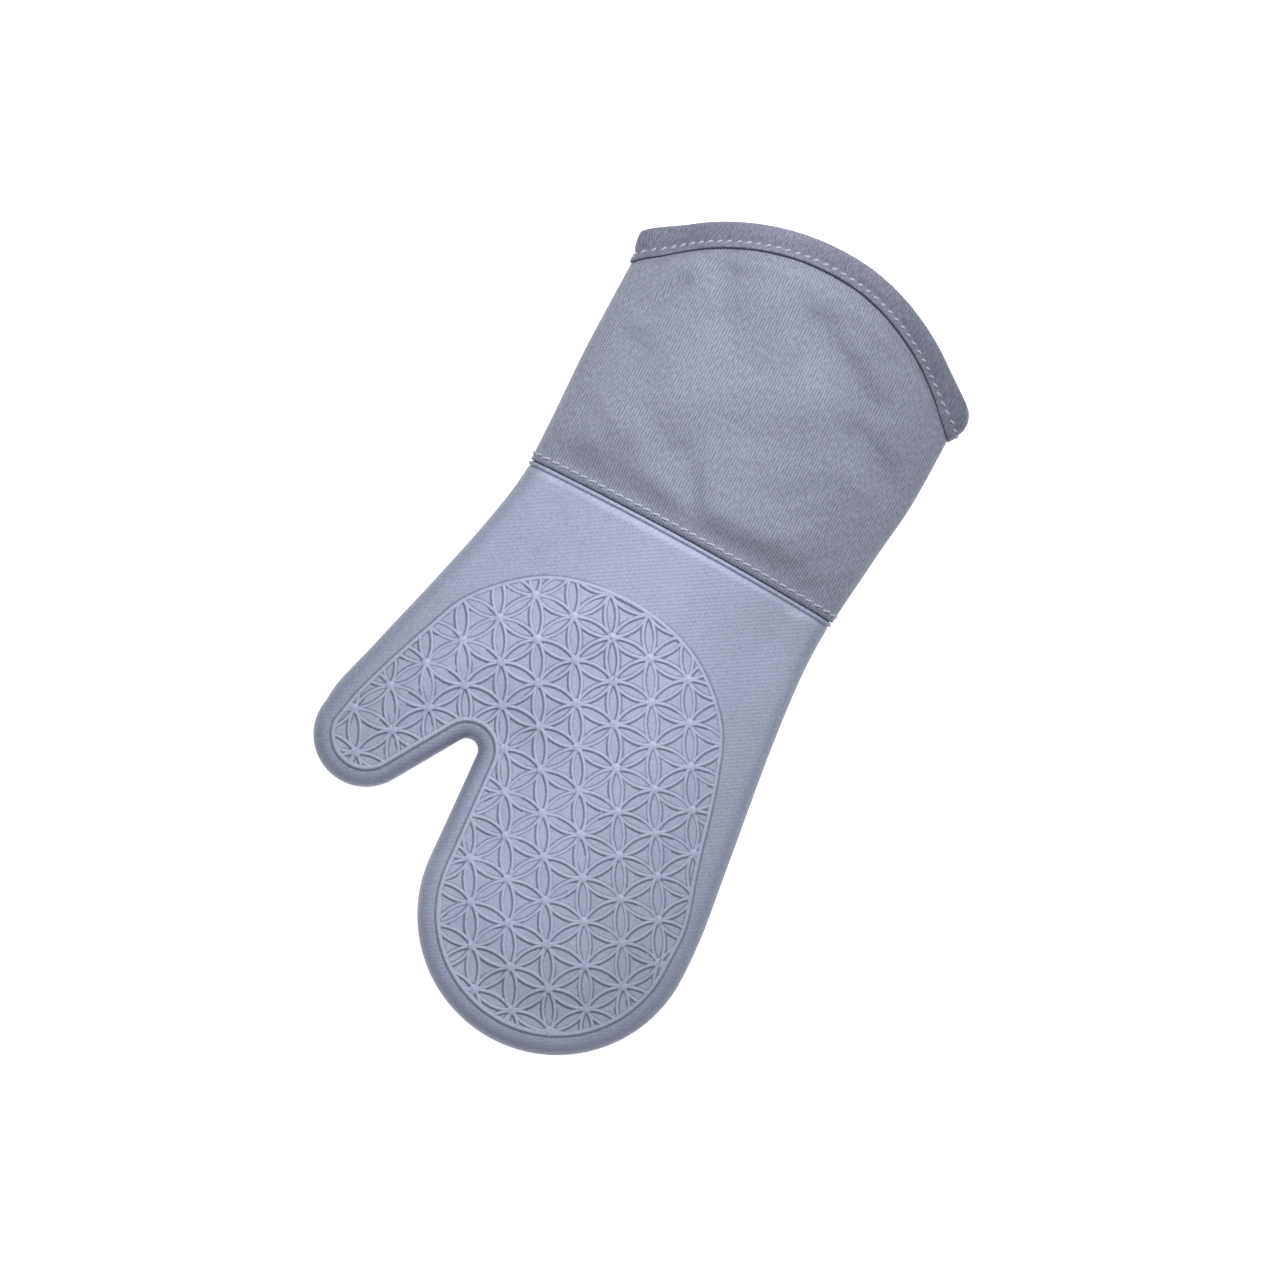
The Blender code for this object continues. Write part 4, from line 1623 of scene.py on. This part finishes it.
@dataclass
class Cuff:
    """The twill cuff: two panels sewn together at the sides, slack enough to wrinkle between their sewn edges."""

    shop: Workshop
    proud: float = 0.6 * MM
    cloth: float = 1.0 * MM
    start: float = 2.5 * MM
    end: float = 1.5 * MM
    rows: int = 58
    face_steps: int = 70
    edge_steps: int = 4
    hem: float = 6.0 * MM
    hem_fade: float = 13 * MM
    under_binding: float = 12.5 * MM
    binding_fade: float = 9 * MM
    seam_fade: int = 9
    pad_depth: float = 0.7 * MM
    pad_gap: float = 0.3 * MM
    least_lift: float = 0.1 * MM
    most_press: float = 0.1 * MM
    most_move: float = 4.2 * MM
    swell: float = 2.2 * MM
    rest_height: float = 0.3 * MM
    frames: int = 24
    slack: float = -0.03
    flat: tuple[float, float] = (176 * MM, 145 * MM)
    join_line: float = 5.5 * MM
    join_stitch: Stitch = Stitch(pitch=4.5 * MM, length=3.3 * MM, thread=0.46 * MM, slant=0.2, seed=3)
    side_span: tuple[float, float] = (54 * MM, 122 * MM)
    side_proud: float = 0.2 * MM
    side_stitch: Stitch = Stitch(pitch=3.0 * MM, length=2.4 * MM, bow=0.2 * MM, thread=0.26 * MM, seed=11)
    folds: tuple[Fold, ...] = (
        Fold((-52, 123), (-42, 141), 3.4, 3.4),
        Fold((-34, 160), (-20, 136), 7, 2.8),
        Fold((-52, 108), (-36, 99), 7, 2.6),
        Fold((14, 151), (52, 132), 8, 4.2),
        Fold((54, 118), (76, 104), 6, 4.0),
        Fold((-10, 76), (6, 58), 5.5, 2.4),
        Fold((58, 70), (80, 82), 8, 1.2),
        Fold((-24, 92), (34, 124), 11, -2.8),
        Fold((-54, 62), (-32, 76), 9, -1.8),
        Fold((22, 62), (50, 68), 9, -1.6),
    )

    def build(self) -> None:
        """Makes both panels from one settled tube of cloth."""
        rest = self._grid(-self.proud)
        settled = self._creased(rest, self._settle(rest))
        for half in Half:
            self._panel(settled, rest, half)
        self._join_stitches()
        self._side_stitches()

    def _grid(self, depth: float) -> np.ndarray:
        """The tube of cloth as rows from the glove to the mouth, each a closed row of points.

        Args:
            depth: how deep it lies below the outer skin.

        Returns:
            The points, row by row.
        """
        form = self.shop.form
        low, high = form.join_line(self.start), form.mouth_line(self.end)
        angles = edge_angles(self.edge_steps)
        lines = [form.between(low, high, share) for share in np.linspace(0, 1, self.rows)]
        return np.array([ring(form, line, level(depth), angles, self.face_steps) for line in lines])

    def _held(self, grid: np.ndarray) -> np.ndarray:
        """How firmly each point is held, from 0 to 1: at the hems and along the side seams.

        Args:
            grid: the tube's points, row by row.

        Returns:
            One share for each point.
        """
        form, flat = self.shop.form, grid[..., :2]
        above = flat[..., 1] - form.join_line(self.start)(flat[..., 0])
        below = form.mouth_line(0.0)(flat[..., 0]) - flat[..., 1]
        free = smoothstep(above, self.hem - self.start, self.hem + self.hem_fade)
        free = free * smoothstep(below, self.under_binding, self.under_binding + self.binding_fade)
        half_row = grid.shape[1] // 2
        column = np.arange(grid.shape[1])
        to_seam = np.minimum(np.minimum(column, grid.shape[1] - column), np.abs(column - half_row))
        return 1 - free * smoothstep(to_seam, 0, self.seam_fade)[None]

    def _wrinkle(self, grid: np.ndarray) -> np.ndarray:
        """A quick stand-in for the settled cloth.

        Args:
            grid: the tube's points, row by row.

        Returns:
            The wrinkled tube's points.
        """
        flat = grid.reshape(-1, 3)
        broad = soft_noise(flat * np.array([0.6, 1.3, 1.0]), 22 * MM, 5.0)
        fine = soft_noise(flat * np.array([0.8, 1.2, 1.0]), 9 * MM, 8.0)
        wave = np.maximum(broad * 2.4 + fine * 0.7 + 0.9, 0).reshape(grid.shape[:2])
        return grid + self._normals(grid) * (wave * (1 - self._held(grid)) * MM)[..., None]

    def _settle(self, grid: np.ndarray) -> np.ndarray:
        """Lets the slack cloth find its wrinkles over the padding, held at its seams.

        Args:
            grid: the smooth tube's points.

        Returns:
            The wrinkled tube's points, none of them far from where they started.
        """
        held = self._held(grid).ravel()
        start = self._wrinkle(grid)
        cloth = self._tube("cuff_cloth", start)
        group = cloth.vertex_groups.new(name="held")
        for number, weight in enumerate(held):
            group.add([number], float(weight > 0.98), "REPLACE")
        pad = self._tube("cuff_pad", self._grid(self.pad_depth))
        pad.modifiers.new("pad", "COLLISION")
        pad.collision.thickness_outer = self.pad_gap
        modifier = cloth.modifiers.new("cloth", "CLOTH")
        settings = modifier.settings
        settings.quality = 6
        settings.mass = 0.2
        settings.tension_stiffness = settings.compression_stiffness = 12
        settings.shear_stiffness = 4
        settings.bending_stiffness = 1.5
        settings.shrink_min = self.slack
        settings.vertex_group_mass = "held"
        settings.use_pressure = True
        settings.uniform_pressure_force = 0.05
        settings.effector_weights.gravity = 0
        modifier.collision_settings.distance_min = self.pad_gap
        modifier.point_cache.frame_start, modifier.point_cache.frame_end = 1, self.frames
        scene = bpy.context.scene
        for number in range(1, self.frames + 1):
            scene.frame_set(number)
        shape = cloth.evaluated_get(bpy.context.evaluated_depsgraph_get()).to_mesh()
        points = np.empty(len(shape.vertices) * 3)
        shape.vertices.foreach_get("co", points)
        scene.frame_set(1)
        for helper in (cloth, pad):
            bpy.data.objects.remove(helper)
        move = points.reshape(grid.shape) - grid
        away = self._normals(grid)
        inward = np.minimum((move * away).sum(2, keepdims=True) - self.least_lift, 0)
        move -= away * inward
        size = np.linalg.norm(move, axis=2, keepdims=True)
        move *= self.most_move * np.tanh(size / self.most_move) / np.maximum(size, 1e-9)
        move[1:-1] = (move[:-2] + 2 * move[1:-1] + move[2:]) / 4
        move = (np.roll(move, 1, 1) + 2 * move + np.roll(move, -1, 1)) / 4
        LOG.info("cuff cloth moved up to %.2f mm", np.linalg.norm(move, axis=2).max() / MM)
        return grid + move * (1 - self._held(grid))[..., None]

    def _creased(self, rest: np.ndarray, settled: np.ndarray) -> np.ndarray:
        """Presses the folds into the upper side and rests the lower side on the floor.

        Args:
            rest: the smooth tube's points.
            settled: the settled tube's points.

        Returns:
            The creased tube's points.
        """
        flat = rest[..., :2].reshape(-1, 2)
        depth = sum(fold.depth_at(flat) for fold in self.folds).reshape(rest.shape[:2])
        away = self._normals(rest)
        depth = depth * (away[..., 2] > 0.3) * (1 - self._held(rest))
        height = ((settled - rest) * away).sum(2)
        swollen = height + self.swell * (1 - self._held(rest)) * np.maximum(away[..., 2], 0)
        creased = settled + away * (np.maximum(swollen - depth, -self.most_press) - height)[..., None]
        creased[..., 2] = np.maximum(creased[..., 2], self.rest_height)
        return creased

    def _tube(self, name: str, grid: np.ndarray) -> bpy.types.Object:
        """An open tube of faces through a grid of points, in the grid's own order.

        Args:
            name: its name.
            grid: the tube's points, row by row.

        Returns:
            The new object.
        """
        rows, columns = grid.shape[:2]
        numbers = np.arange(rows * columns).reshape(rows, columns)
        shell = Shell()
        shell.stack(list(numbers), closed=True)
        mesh = bpy.data.meshes.new(name)
        mesh.from_pydata(grid.reshape(-1, 3).tolist(), [], [tuple(map(int, f)) for f in shell.faces])
        return link(name, mesh)

    def _normals(self, grid: np.ndarray) -> np.ndarray:
        """Direction away from the cuff at each point of a tube.

        Args:
            grid: the tube's points, row by row.

        Returns:
            One direction for each point.
        """
        around = np.roll(grid, -1, 1) - np.roll(grid, 1, 1)
        along = np.gradient(grid, axis=0)
        away = np.cross(around, along)
        away /= np.maximum(np.linalg.norm(away, axis=2, keepdims=True), 1e-12)
        return away * np.sign(away[grid.shape[0] // 2, grid.shape[1] // 4, 2])

    def _panel(self, settled: np.ndarray, rest: np.ndarray, half: Half) -> None:
        """One panel with its thickness, cut from the settled tube along its side seams.

        Args:
            settled: the settled tube's points.
            rest: the smooth tube's points.
            half: the upper or lower half.
        """
        count = settled.shape[1]
        middle = count // 2
        columns = np.arange(0, middle + 1) if half is Half.UPPER else np.arange(middle, count + 1) % count
        outer = settled[:, columns]
        inner = outer - self._normals(settled)[:, columns] * self.cloth
        shell, layers = Shell(), []
        for layer in (outer, inner):
            rows = []
            for row, still in zip(layer, rest[:, columns]):
                around = lengths_along(still[:, [0, 2]])
                flat = np.stack([around - around[-1] / 2, still[:, 1]], 1)
                rows.append(shell.add(row, flat))
            shell.stack(rows)
            layers.append(rows)
        top, bottom = layers
        shell.bridge(top[0], bottom[0])
        shell.bridge(top[-1], bottom[-1])
        for end in (0, -1):
            shell.bridge([row[end] for row in top], [row[end] for row in bottom])
        name = f"cuff_panel_{half.name.lower()}"
        piece = self.shop.dress(shell.build(f"cuff_twill_{half.name.lower()}"), "cuff_cloth", name)

    def _join_stitches(self) -> None:
        """The row of stitches that holds the cuff to the glove's flange."""
        form = self.shop.form
        path = ring(form, form.join_line(self.join_line), level(-self.proud), edge_angles(6), 80)
        piece = self.shop.sew("join_stitches", [path], [ring_outward(path)], self.join_stitch, closed=True)
        self.shop.dress(piece, "thread", "cuff_join_stitching")

    def _side_stitches(self) -> None:
        """The seams along the cuff's two sides."""
        form = self.shop.form
        sides = ((form.thumb_side, -1.0, "thumb_side"), (form.little_side, 1.0, "little_finger_side"))
        for side, away, name in sides:
            y = np.linspace(*self.side_span, 40)
            path = np.stack([side.x(y) + away * self.side_proud, y, form.base_z(y) + form.edge_radius(y)], 1)
            outward = np.tile([away, 0.0, 0.0], (len(y), 1))
            piece = self.shop.sew(f"side_stitches_{name}", [path], [outward], self.side_stitch)
            self.shop.dress(piece, "thread", f"side_seam_{name}")


@dataclass
class Binding:
    """The tape folded over the cuff's mouth, puckered by its stitches and standing out at the side seams."""

    shop: Workshop
    steps: int = 150
    edge_steps: int = 9
    stitch: Stitch = Stitch(pitch=4.5 * MM, length=2.5 * MM, bow=0.4 * MM, thread=0.5 * MM, slant=0.42, seed=5)
    stitch_inset: float = 8.8 * MM
    stitch_depths: tuple[float, float] = (-1.55 * MM, 4.25 * MM)
    pucker: float = 0.28 * MM
    pucker_pitch: float = 4.8 * MM
    pucker_reach: float = 3 * MM
    lumps: float = 0.35 * MM
    lump_size: float = 9 * MM
    lip: float = 11 * MM
    lip_lift: float = 2.2 * MM
    flares: tuple[float, float] = (2.6 * MM, 3.4 * MM)
    flare_reach: float = 14 * MM
    measured_at: tuple[float, float] = (4.4, -2.30)
    flat: tuple[float, float] = (30 * MM, 365 * MM)
    profile: tuple[tuple[float, float], ...] = (
        (11.1, -1.95),
        (11.4, -2.30),
        (11.1, -2.65),
        (10.4, -2.60),
        (9.6, -2.15),
        (8.8, -1.60),
        (8.0, -1.75),
        (6.4, -2.15),
        (4.4, -2.30),
        (2.5, -2.10),
        (1.1, -1.60),
        (0.3, -0.80),
        (0.0, 0.30),
        (0.0, 2.60),
        (0.4, 3.60),
        (1.4, 4.30),
        (3.5, 4.60),
        (6.4, 4.60),
        (8.8, 4.25),
        (10.4, 4.55),
        (11.2, 4.20),
        (11.0, 3.65),
        (6.0, 3.60),
        (1.6, 3.60),
        (1.2, 3.00),
        (1.2, -0.30),
        (1.6, -0.85),
        (6.0, -0.90),
        (9.0, -0.90),
    )

    def build(self) -> None:
        """Makes the tape and the stitches through it."""
        form, shell = self.shop.form, Shell()
        angles = edge_angles(self.edge_steps)
        rows = [self._row(inset * MM, depth * MM, angles) for inset, depth in self.profile]
        across = lengths_along(np.array([*self.profile, self.profile[0]]) * MM)
        middle = rows[self.profile.index(self.measured_at)]
        around = lengths_along(np.concatenate([middle, middle[:1]]))
        numbers = []
        for row, down in zip([*rows, rows[0]], across):
            points = np.concatenate([row, row[:1]])
            numbers.append(shell.add(points, np.stack([around, np.full(len(around), down)], 1)))
        shell.stack(numbers)
        piece = self.shop.dress(shell.build("mouth_binding"), "binding_cloth", "binding_tape")
        paths = [self._row(self.stitch_inset, depth, angles) for depth in self.stitch_depths]
        outward = [ring_outward(paths[0]), -ring_outward(paths[1])]
        sewn = self.shop.sew("binding_stitches", paths, outward, self.stitch, closed=True)
        self.shop.dress(sewn, "thread", "binding_stitching")

    def _row(self, inset: float, depth: float, angles: Sequence[float]) -> np.ndarray:
        """One closed row of the tape, at an inset from the mouth's edge and a depth in its layers.

        Args:
            inset: how far below the mouth's edge it lies.
            depth: how deep it lies below the outer skin.
            angles: the angles at which the rounded edge is cut.

        Returns:
            The row's points.
        """
        form = self.shop.form
        outside = smoothstep(-depth, 1.0 * MM, 1.5 * MM)
        near_stitch = 1 - smoothstep(abs(inset - self.stitch_inset), 0, self.pucker_reach)

        def puckered(xy: np.ndarray, angle: float) -> np.ndarray:
            """The row's depth with the stitches' puckers and the tape's lumps.

            Args:
                xy: the flat points.
                angle: the angle round the edge, in degrees.

            Returns:
                One depth for each point.
            """
            turn = np.arctan2(xy[:, 0] - form.mouth_arch.x, xy[:, 1] - form.mouth_arch.y)
            wave = np.cos(2 * math.pi * turn * form.mouth_arch.radius / self.pucker_pitch)
            lump = soft_noise(np.column_stack([xy, np.full(len(xy), angle * MM)]), self.lump_size, 2.0)
            return depth + outside * (wave * near_stitch * self.pucker + lump * self.lumps)

        row = ring(form, form.mouth_line(inset), puckered, angles, self.steps)
        share = min(inset / self.lip, 1.0)
        swells = (self.flares[0] * (1 - 1.5 * share), self.flares[1] * (0.45 + 1.5 * share - 2.3 * share**3))
        lifts = (self.lip_lift * share, 0.0)
        sides = ((form.thumb_side, -1, swells[0], lifts[0]), (form.little_side, 1, swells[1], lifts[1]))
        for side, away, swell, lift in sides:
            reach = np.abs(side.x(row[:, 1]) - row[:, 0])
            near = 1 - smoothstep(reach, 0, self.flare_reach)
            row[:, 0] += away * swell * near
            row[:, 1] += lift * near
        return row


@dataclass
class Padding:
    """The quilted lining and the batting behind it, each in an upper and a lower half."""

    shop: Workshop
    split: float = 4.0
    cell: float = 25 * MM
    puff: float = 1.4 * MM
    puff_fade: tuple[float, float] = (11 * MM, 18 * MM)
    rows: int = 50
    cross_steps: int = 44
    edge_steps: int = 5
    taper: tuple[float, float] = (90 * MM, 138 * MM)
    bag_end: float = -0.8 * MM
    sleeve_start: float = 2 * MM
    end: float = 1.5 * MM
    batting: tuple[tuple[float, float], ...] = ((2.4 * MM, 4.6 * MM), (0.7 * MM, 2.2 * MM))
    lining: tuple[tuple[float, float], ...] = ((5.0 * MM, 5.8 * MM), (2.5 * MM, 3.3 * MM))

    def build(self) -> None:
        """Makes both layers in both halves."""
        for half in Half:
            name = half.name.lower()
            pad = self._half(f"batting_pad_{name}", self.batting, half, (0.0, 0.8), 5 * MM)
            self.shop.dress(pad, "batting", f"batting_{name}")
            cloth = self._half(f"quilted_lining_{name}", self.lining, half, (1.0, 1.0), 4 * MM)
            self.shop.dress(cloth, "lining", f"lining_{name}")

    def _quilt(self, xy: np.ndarray) -> np.ndarray:
        """How far the layers puff up between the diamond rows of quilting.

        Args:
            xy: the flat points.

        Returns:
            One height for each point.
        """
        u, v = (xy[:, 0] + xy[:, 1]), (xy[:, 0] - xy[:, 1])
        size = self.cell * math.sqrt(2)
        waves = np.abs(np.sin(math.pi * u / size) * np.sin(math.pi * v / size)) ** 0.7
        form = self.shop.form
        fade = smoothstep(form.mouth_line(0.0)(xy[:, 0]) - xy[:, 1], *self.puff_fade)
        return self.puff * waves * fade

    def _half(
        self,
        name: str,
        layers: Sequence[tuple[float, float]],
        half: Half,
        puffs: tuple[float, float],
        spacing: float,
    ) -> bpy.types.Object:
        """One half of a layer, closed all round.

        Args:
            name: the piece's name.
            layers: the outer and inner depth in the glove, and the same two at the mouth.
            half: the upper or lower half.
            puffs: how much of the quilting's puff the outer and inner faces take.
            spacing: distance between points.

        Returns:
            The piece.
        """
        form, shell = self.shop.form, Shell()
        line = form.join_line(self.bag_end)
        maker = BagMaker(form, line, spacing, spacing, self.cross_steps, self.edge_steps)
        angles = edge_angles(self.edge_steps, self.split)
        seams, openings = [], []
        for at_glove, at_mouth, puff in zip(*layers, puffs):

            def depth(xy: np.ndarray, angle: float) -> np.ndarray:
                """The face's depth, which thins towards the mouth and puffs up between the quilting."""
                base = mix(at_glove, at_mouth, smoothstep(xy[:, 1], *self.taper))
                return base + puff * self._quilt(xy) * smoothstep(angle, 10, 90)

            seam, opening = maker.half(shell, depth, self.split, half)
            rows = [opening]
            for share in np.linspace(0, 1, self.rows):
                place = form.between(form.join_line(self.sleeve_start), form.mouth_line(self.end), share)
                rows.append(shell.add(form.cross_row(place, depth, angles, self.cross_steps, half)))
            shell.stack(rows)
            up_left, up_right = [row[0] for row in rows[1:]], [row[-1] for row in rows[1:]]
            seams.append([*up_left[::-1], *seam, *up_right])
            openings.append(rows[-1])
        shell.bridge(*seams)
        shell.bridge(*openings)
        return shell.build(name)


# ---------------------------------------------------------------- studio


@dataclass(frozen=True)
class Studio:
    """The camera straight above, the pale floor and the soft light."""

    turn: float = 28.0
    aim: tuple[float, float, float] = (0.0118, -0.0038, 0.012)
    distance: float = 3.096
    lens: float = 200.0
    floor_size: float = 12.0
    floor_glow: float = 0.8
    lamp_place: tuple[float, float, float] = (-0.02, 0.50, 0.78)
    lamp_aim: tuple[float, float, float] = (-0.01, 0.02, 0.02)
    lamp_size: float = 0.2
    lamp_scale: tuple[float, float, float] = (0.55, 1.7, 1.0)
    lamp_power: float = 29.0
    lamp_angle: float = 38.0
    sky_colour: tuple[float, float, float, float] = (0.93, 0.95, 1.0, 1.0)
    sky_strength: float = 0.3

    def build(self) -> None:
        """Sets everything up."""
        self._camera()
        self._floor()
        self._lamp()
        self._sky()
        bpy.context.scene.view_settings.view_transform = "Standard"

    def _camera(self) -> None:
        """The camera looks straight down, turned so that the mitt leans."""
        camera = bpy.data.cameras.new("camera")
        camera.lens = self.lens
        camera.sensor_width = 36.0
        camera.clip_start, camera.clip_end = 0.05, 50.0
        item = link("camera", camera)
        x, y, z = self.aim
        item.location = (x, y, z + self.distance)
        item.rotation_euler = (0.0, 0.0, math.radians(self.turn))
        bpy.context.scene.camera = item

    def _floor(self) -> None:
        """A pale floor that glows a little."""
        half = self.floor_size / 2
        corners = [(-half, -half, 0), (half, -half, 0), (half, half, 0), (-half, half, 0)]
        mesh = bpy.data.meshes.new("floor")
        mesh.from_pydata(corners, [], [(0, 1, 2, 3)])
        floor = link("floor", mesh)
        material, graph, shader = start_material("floor")
        place = graph.node("ShaderNodeTexCoord").outputs["Object"]
        cloud = graph.smooth_noise(place, 3.0)
        tint = graph.blend(cloud, colour(249, 249, 250), colour(253, 253, 253))
        graph.feed(shader, {"Base Color": tint, "Emission Color": tint})
        graph.feed(shader, {"Emission Strength": self.floor_glow, "Roughness": 0.9})
        mesh.materials.append(material)

    def _lamp(self) -> None:
        """A soft lamp aimed at the wrist, whose light fades towards both ends of the mitt."""
        lamp = bpy.data.lights.new("key_light", "SPOT")
        lamp.shadow_soft_size = self.lamp_size / 2
        lamp.spot_size = math.radians(self.lamp_angle)
        lamp.spot_blend = 1.0
        lamp.energy = self.lamp_power
        item = link("key_light", lamp)
        item.location = self.lamp_place
        item.scale = self.lamp_scale
        towards = Vector(self.lamp_aim) - Vector(self.lamp_place)
        item.rotation_euler = towards.to_track_quat("-Z", "Y").to_euler()

    def _sky(self) -> None:
        """An even pale sky."""
        world = bpy.data.worlds.new("sky")
        world.use_nodes = True
        background = world.node_tree.nodes["Background"]
        background.inputs["Color"].default_value = self.sky_colour
        background.inputs["Strength"].default_value = self.sky_strength
        bpy.context.scene.world = world


def main() -> None:
    """Builds every sub-assembly in order."""
    logging.basicConfig(level=logging.INFO, format="%(message)s", force=True)
    finishes = {
        "silicone": SiliconeFinish().material(),
        "cuff_cloth": CUFF_CLOTH.material(),
        "binding_cloth": BINDING_CLOTH.material(),
        "thread": ThreadFinish().material(),
        "batting": BattingFinish().material(),
        "lining": LINING_CLOTH.material(),
    }
    shop = Workshop(MittForm(), finishes, ReliefTree().tree, StitchTree().tree)
    Glove(shop).build()
    Cuff(shop).build()
    Binding(shop).build()
    Padding(shop).build()
    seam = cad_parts["lining_seam"]
    for material_slot in seam.material_slots:
        material_slot.material = finishes["thread"]
    LOG.info("lining_seam: carried over with the thread finish")
    Studio().build()


if __name__ == "__main__":
    main()
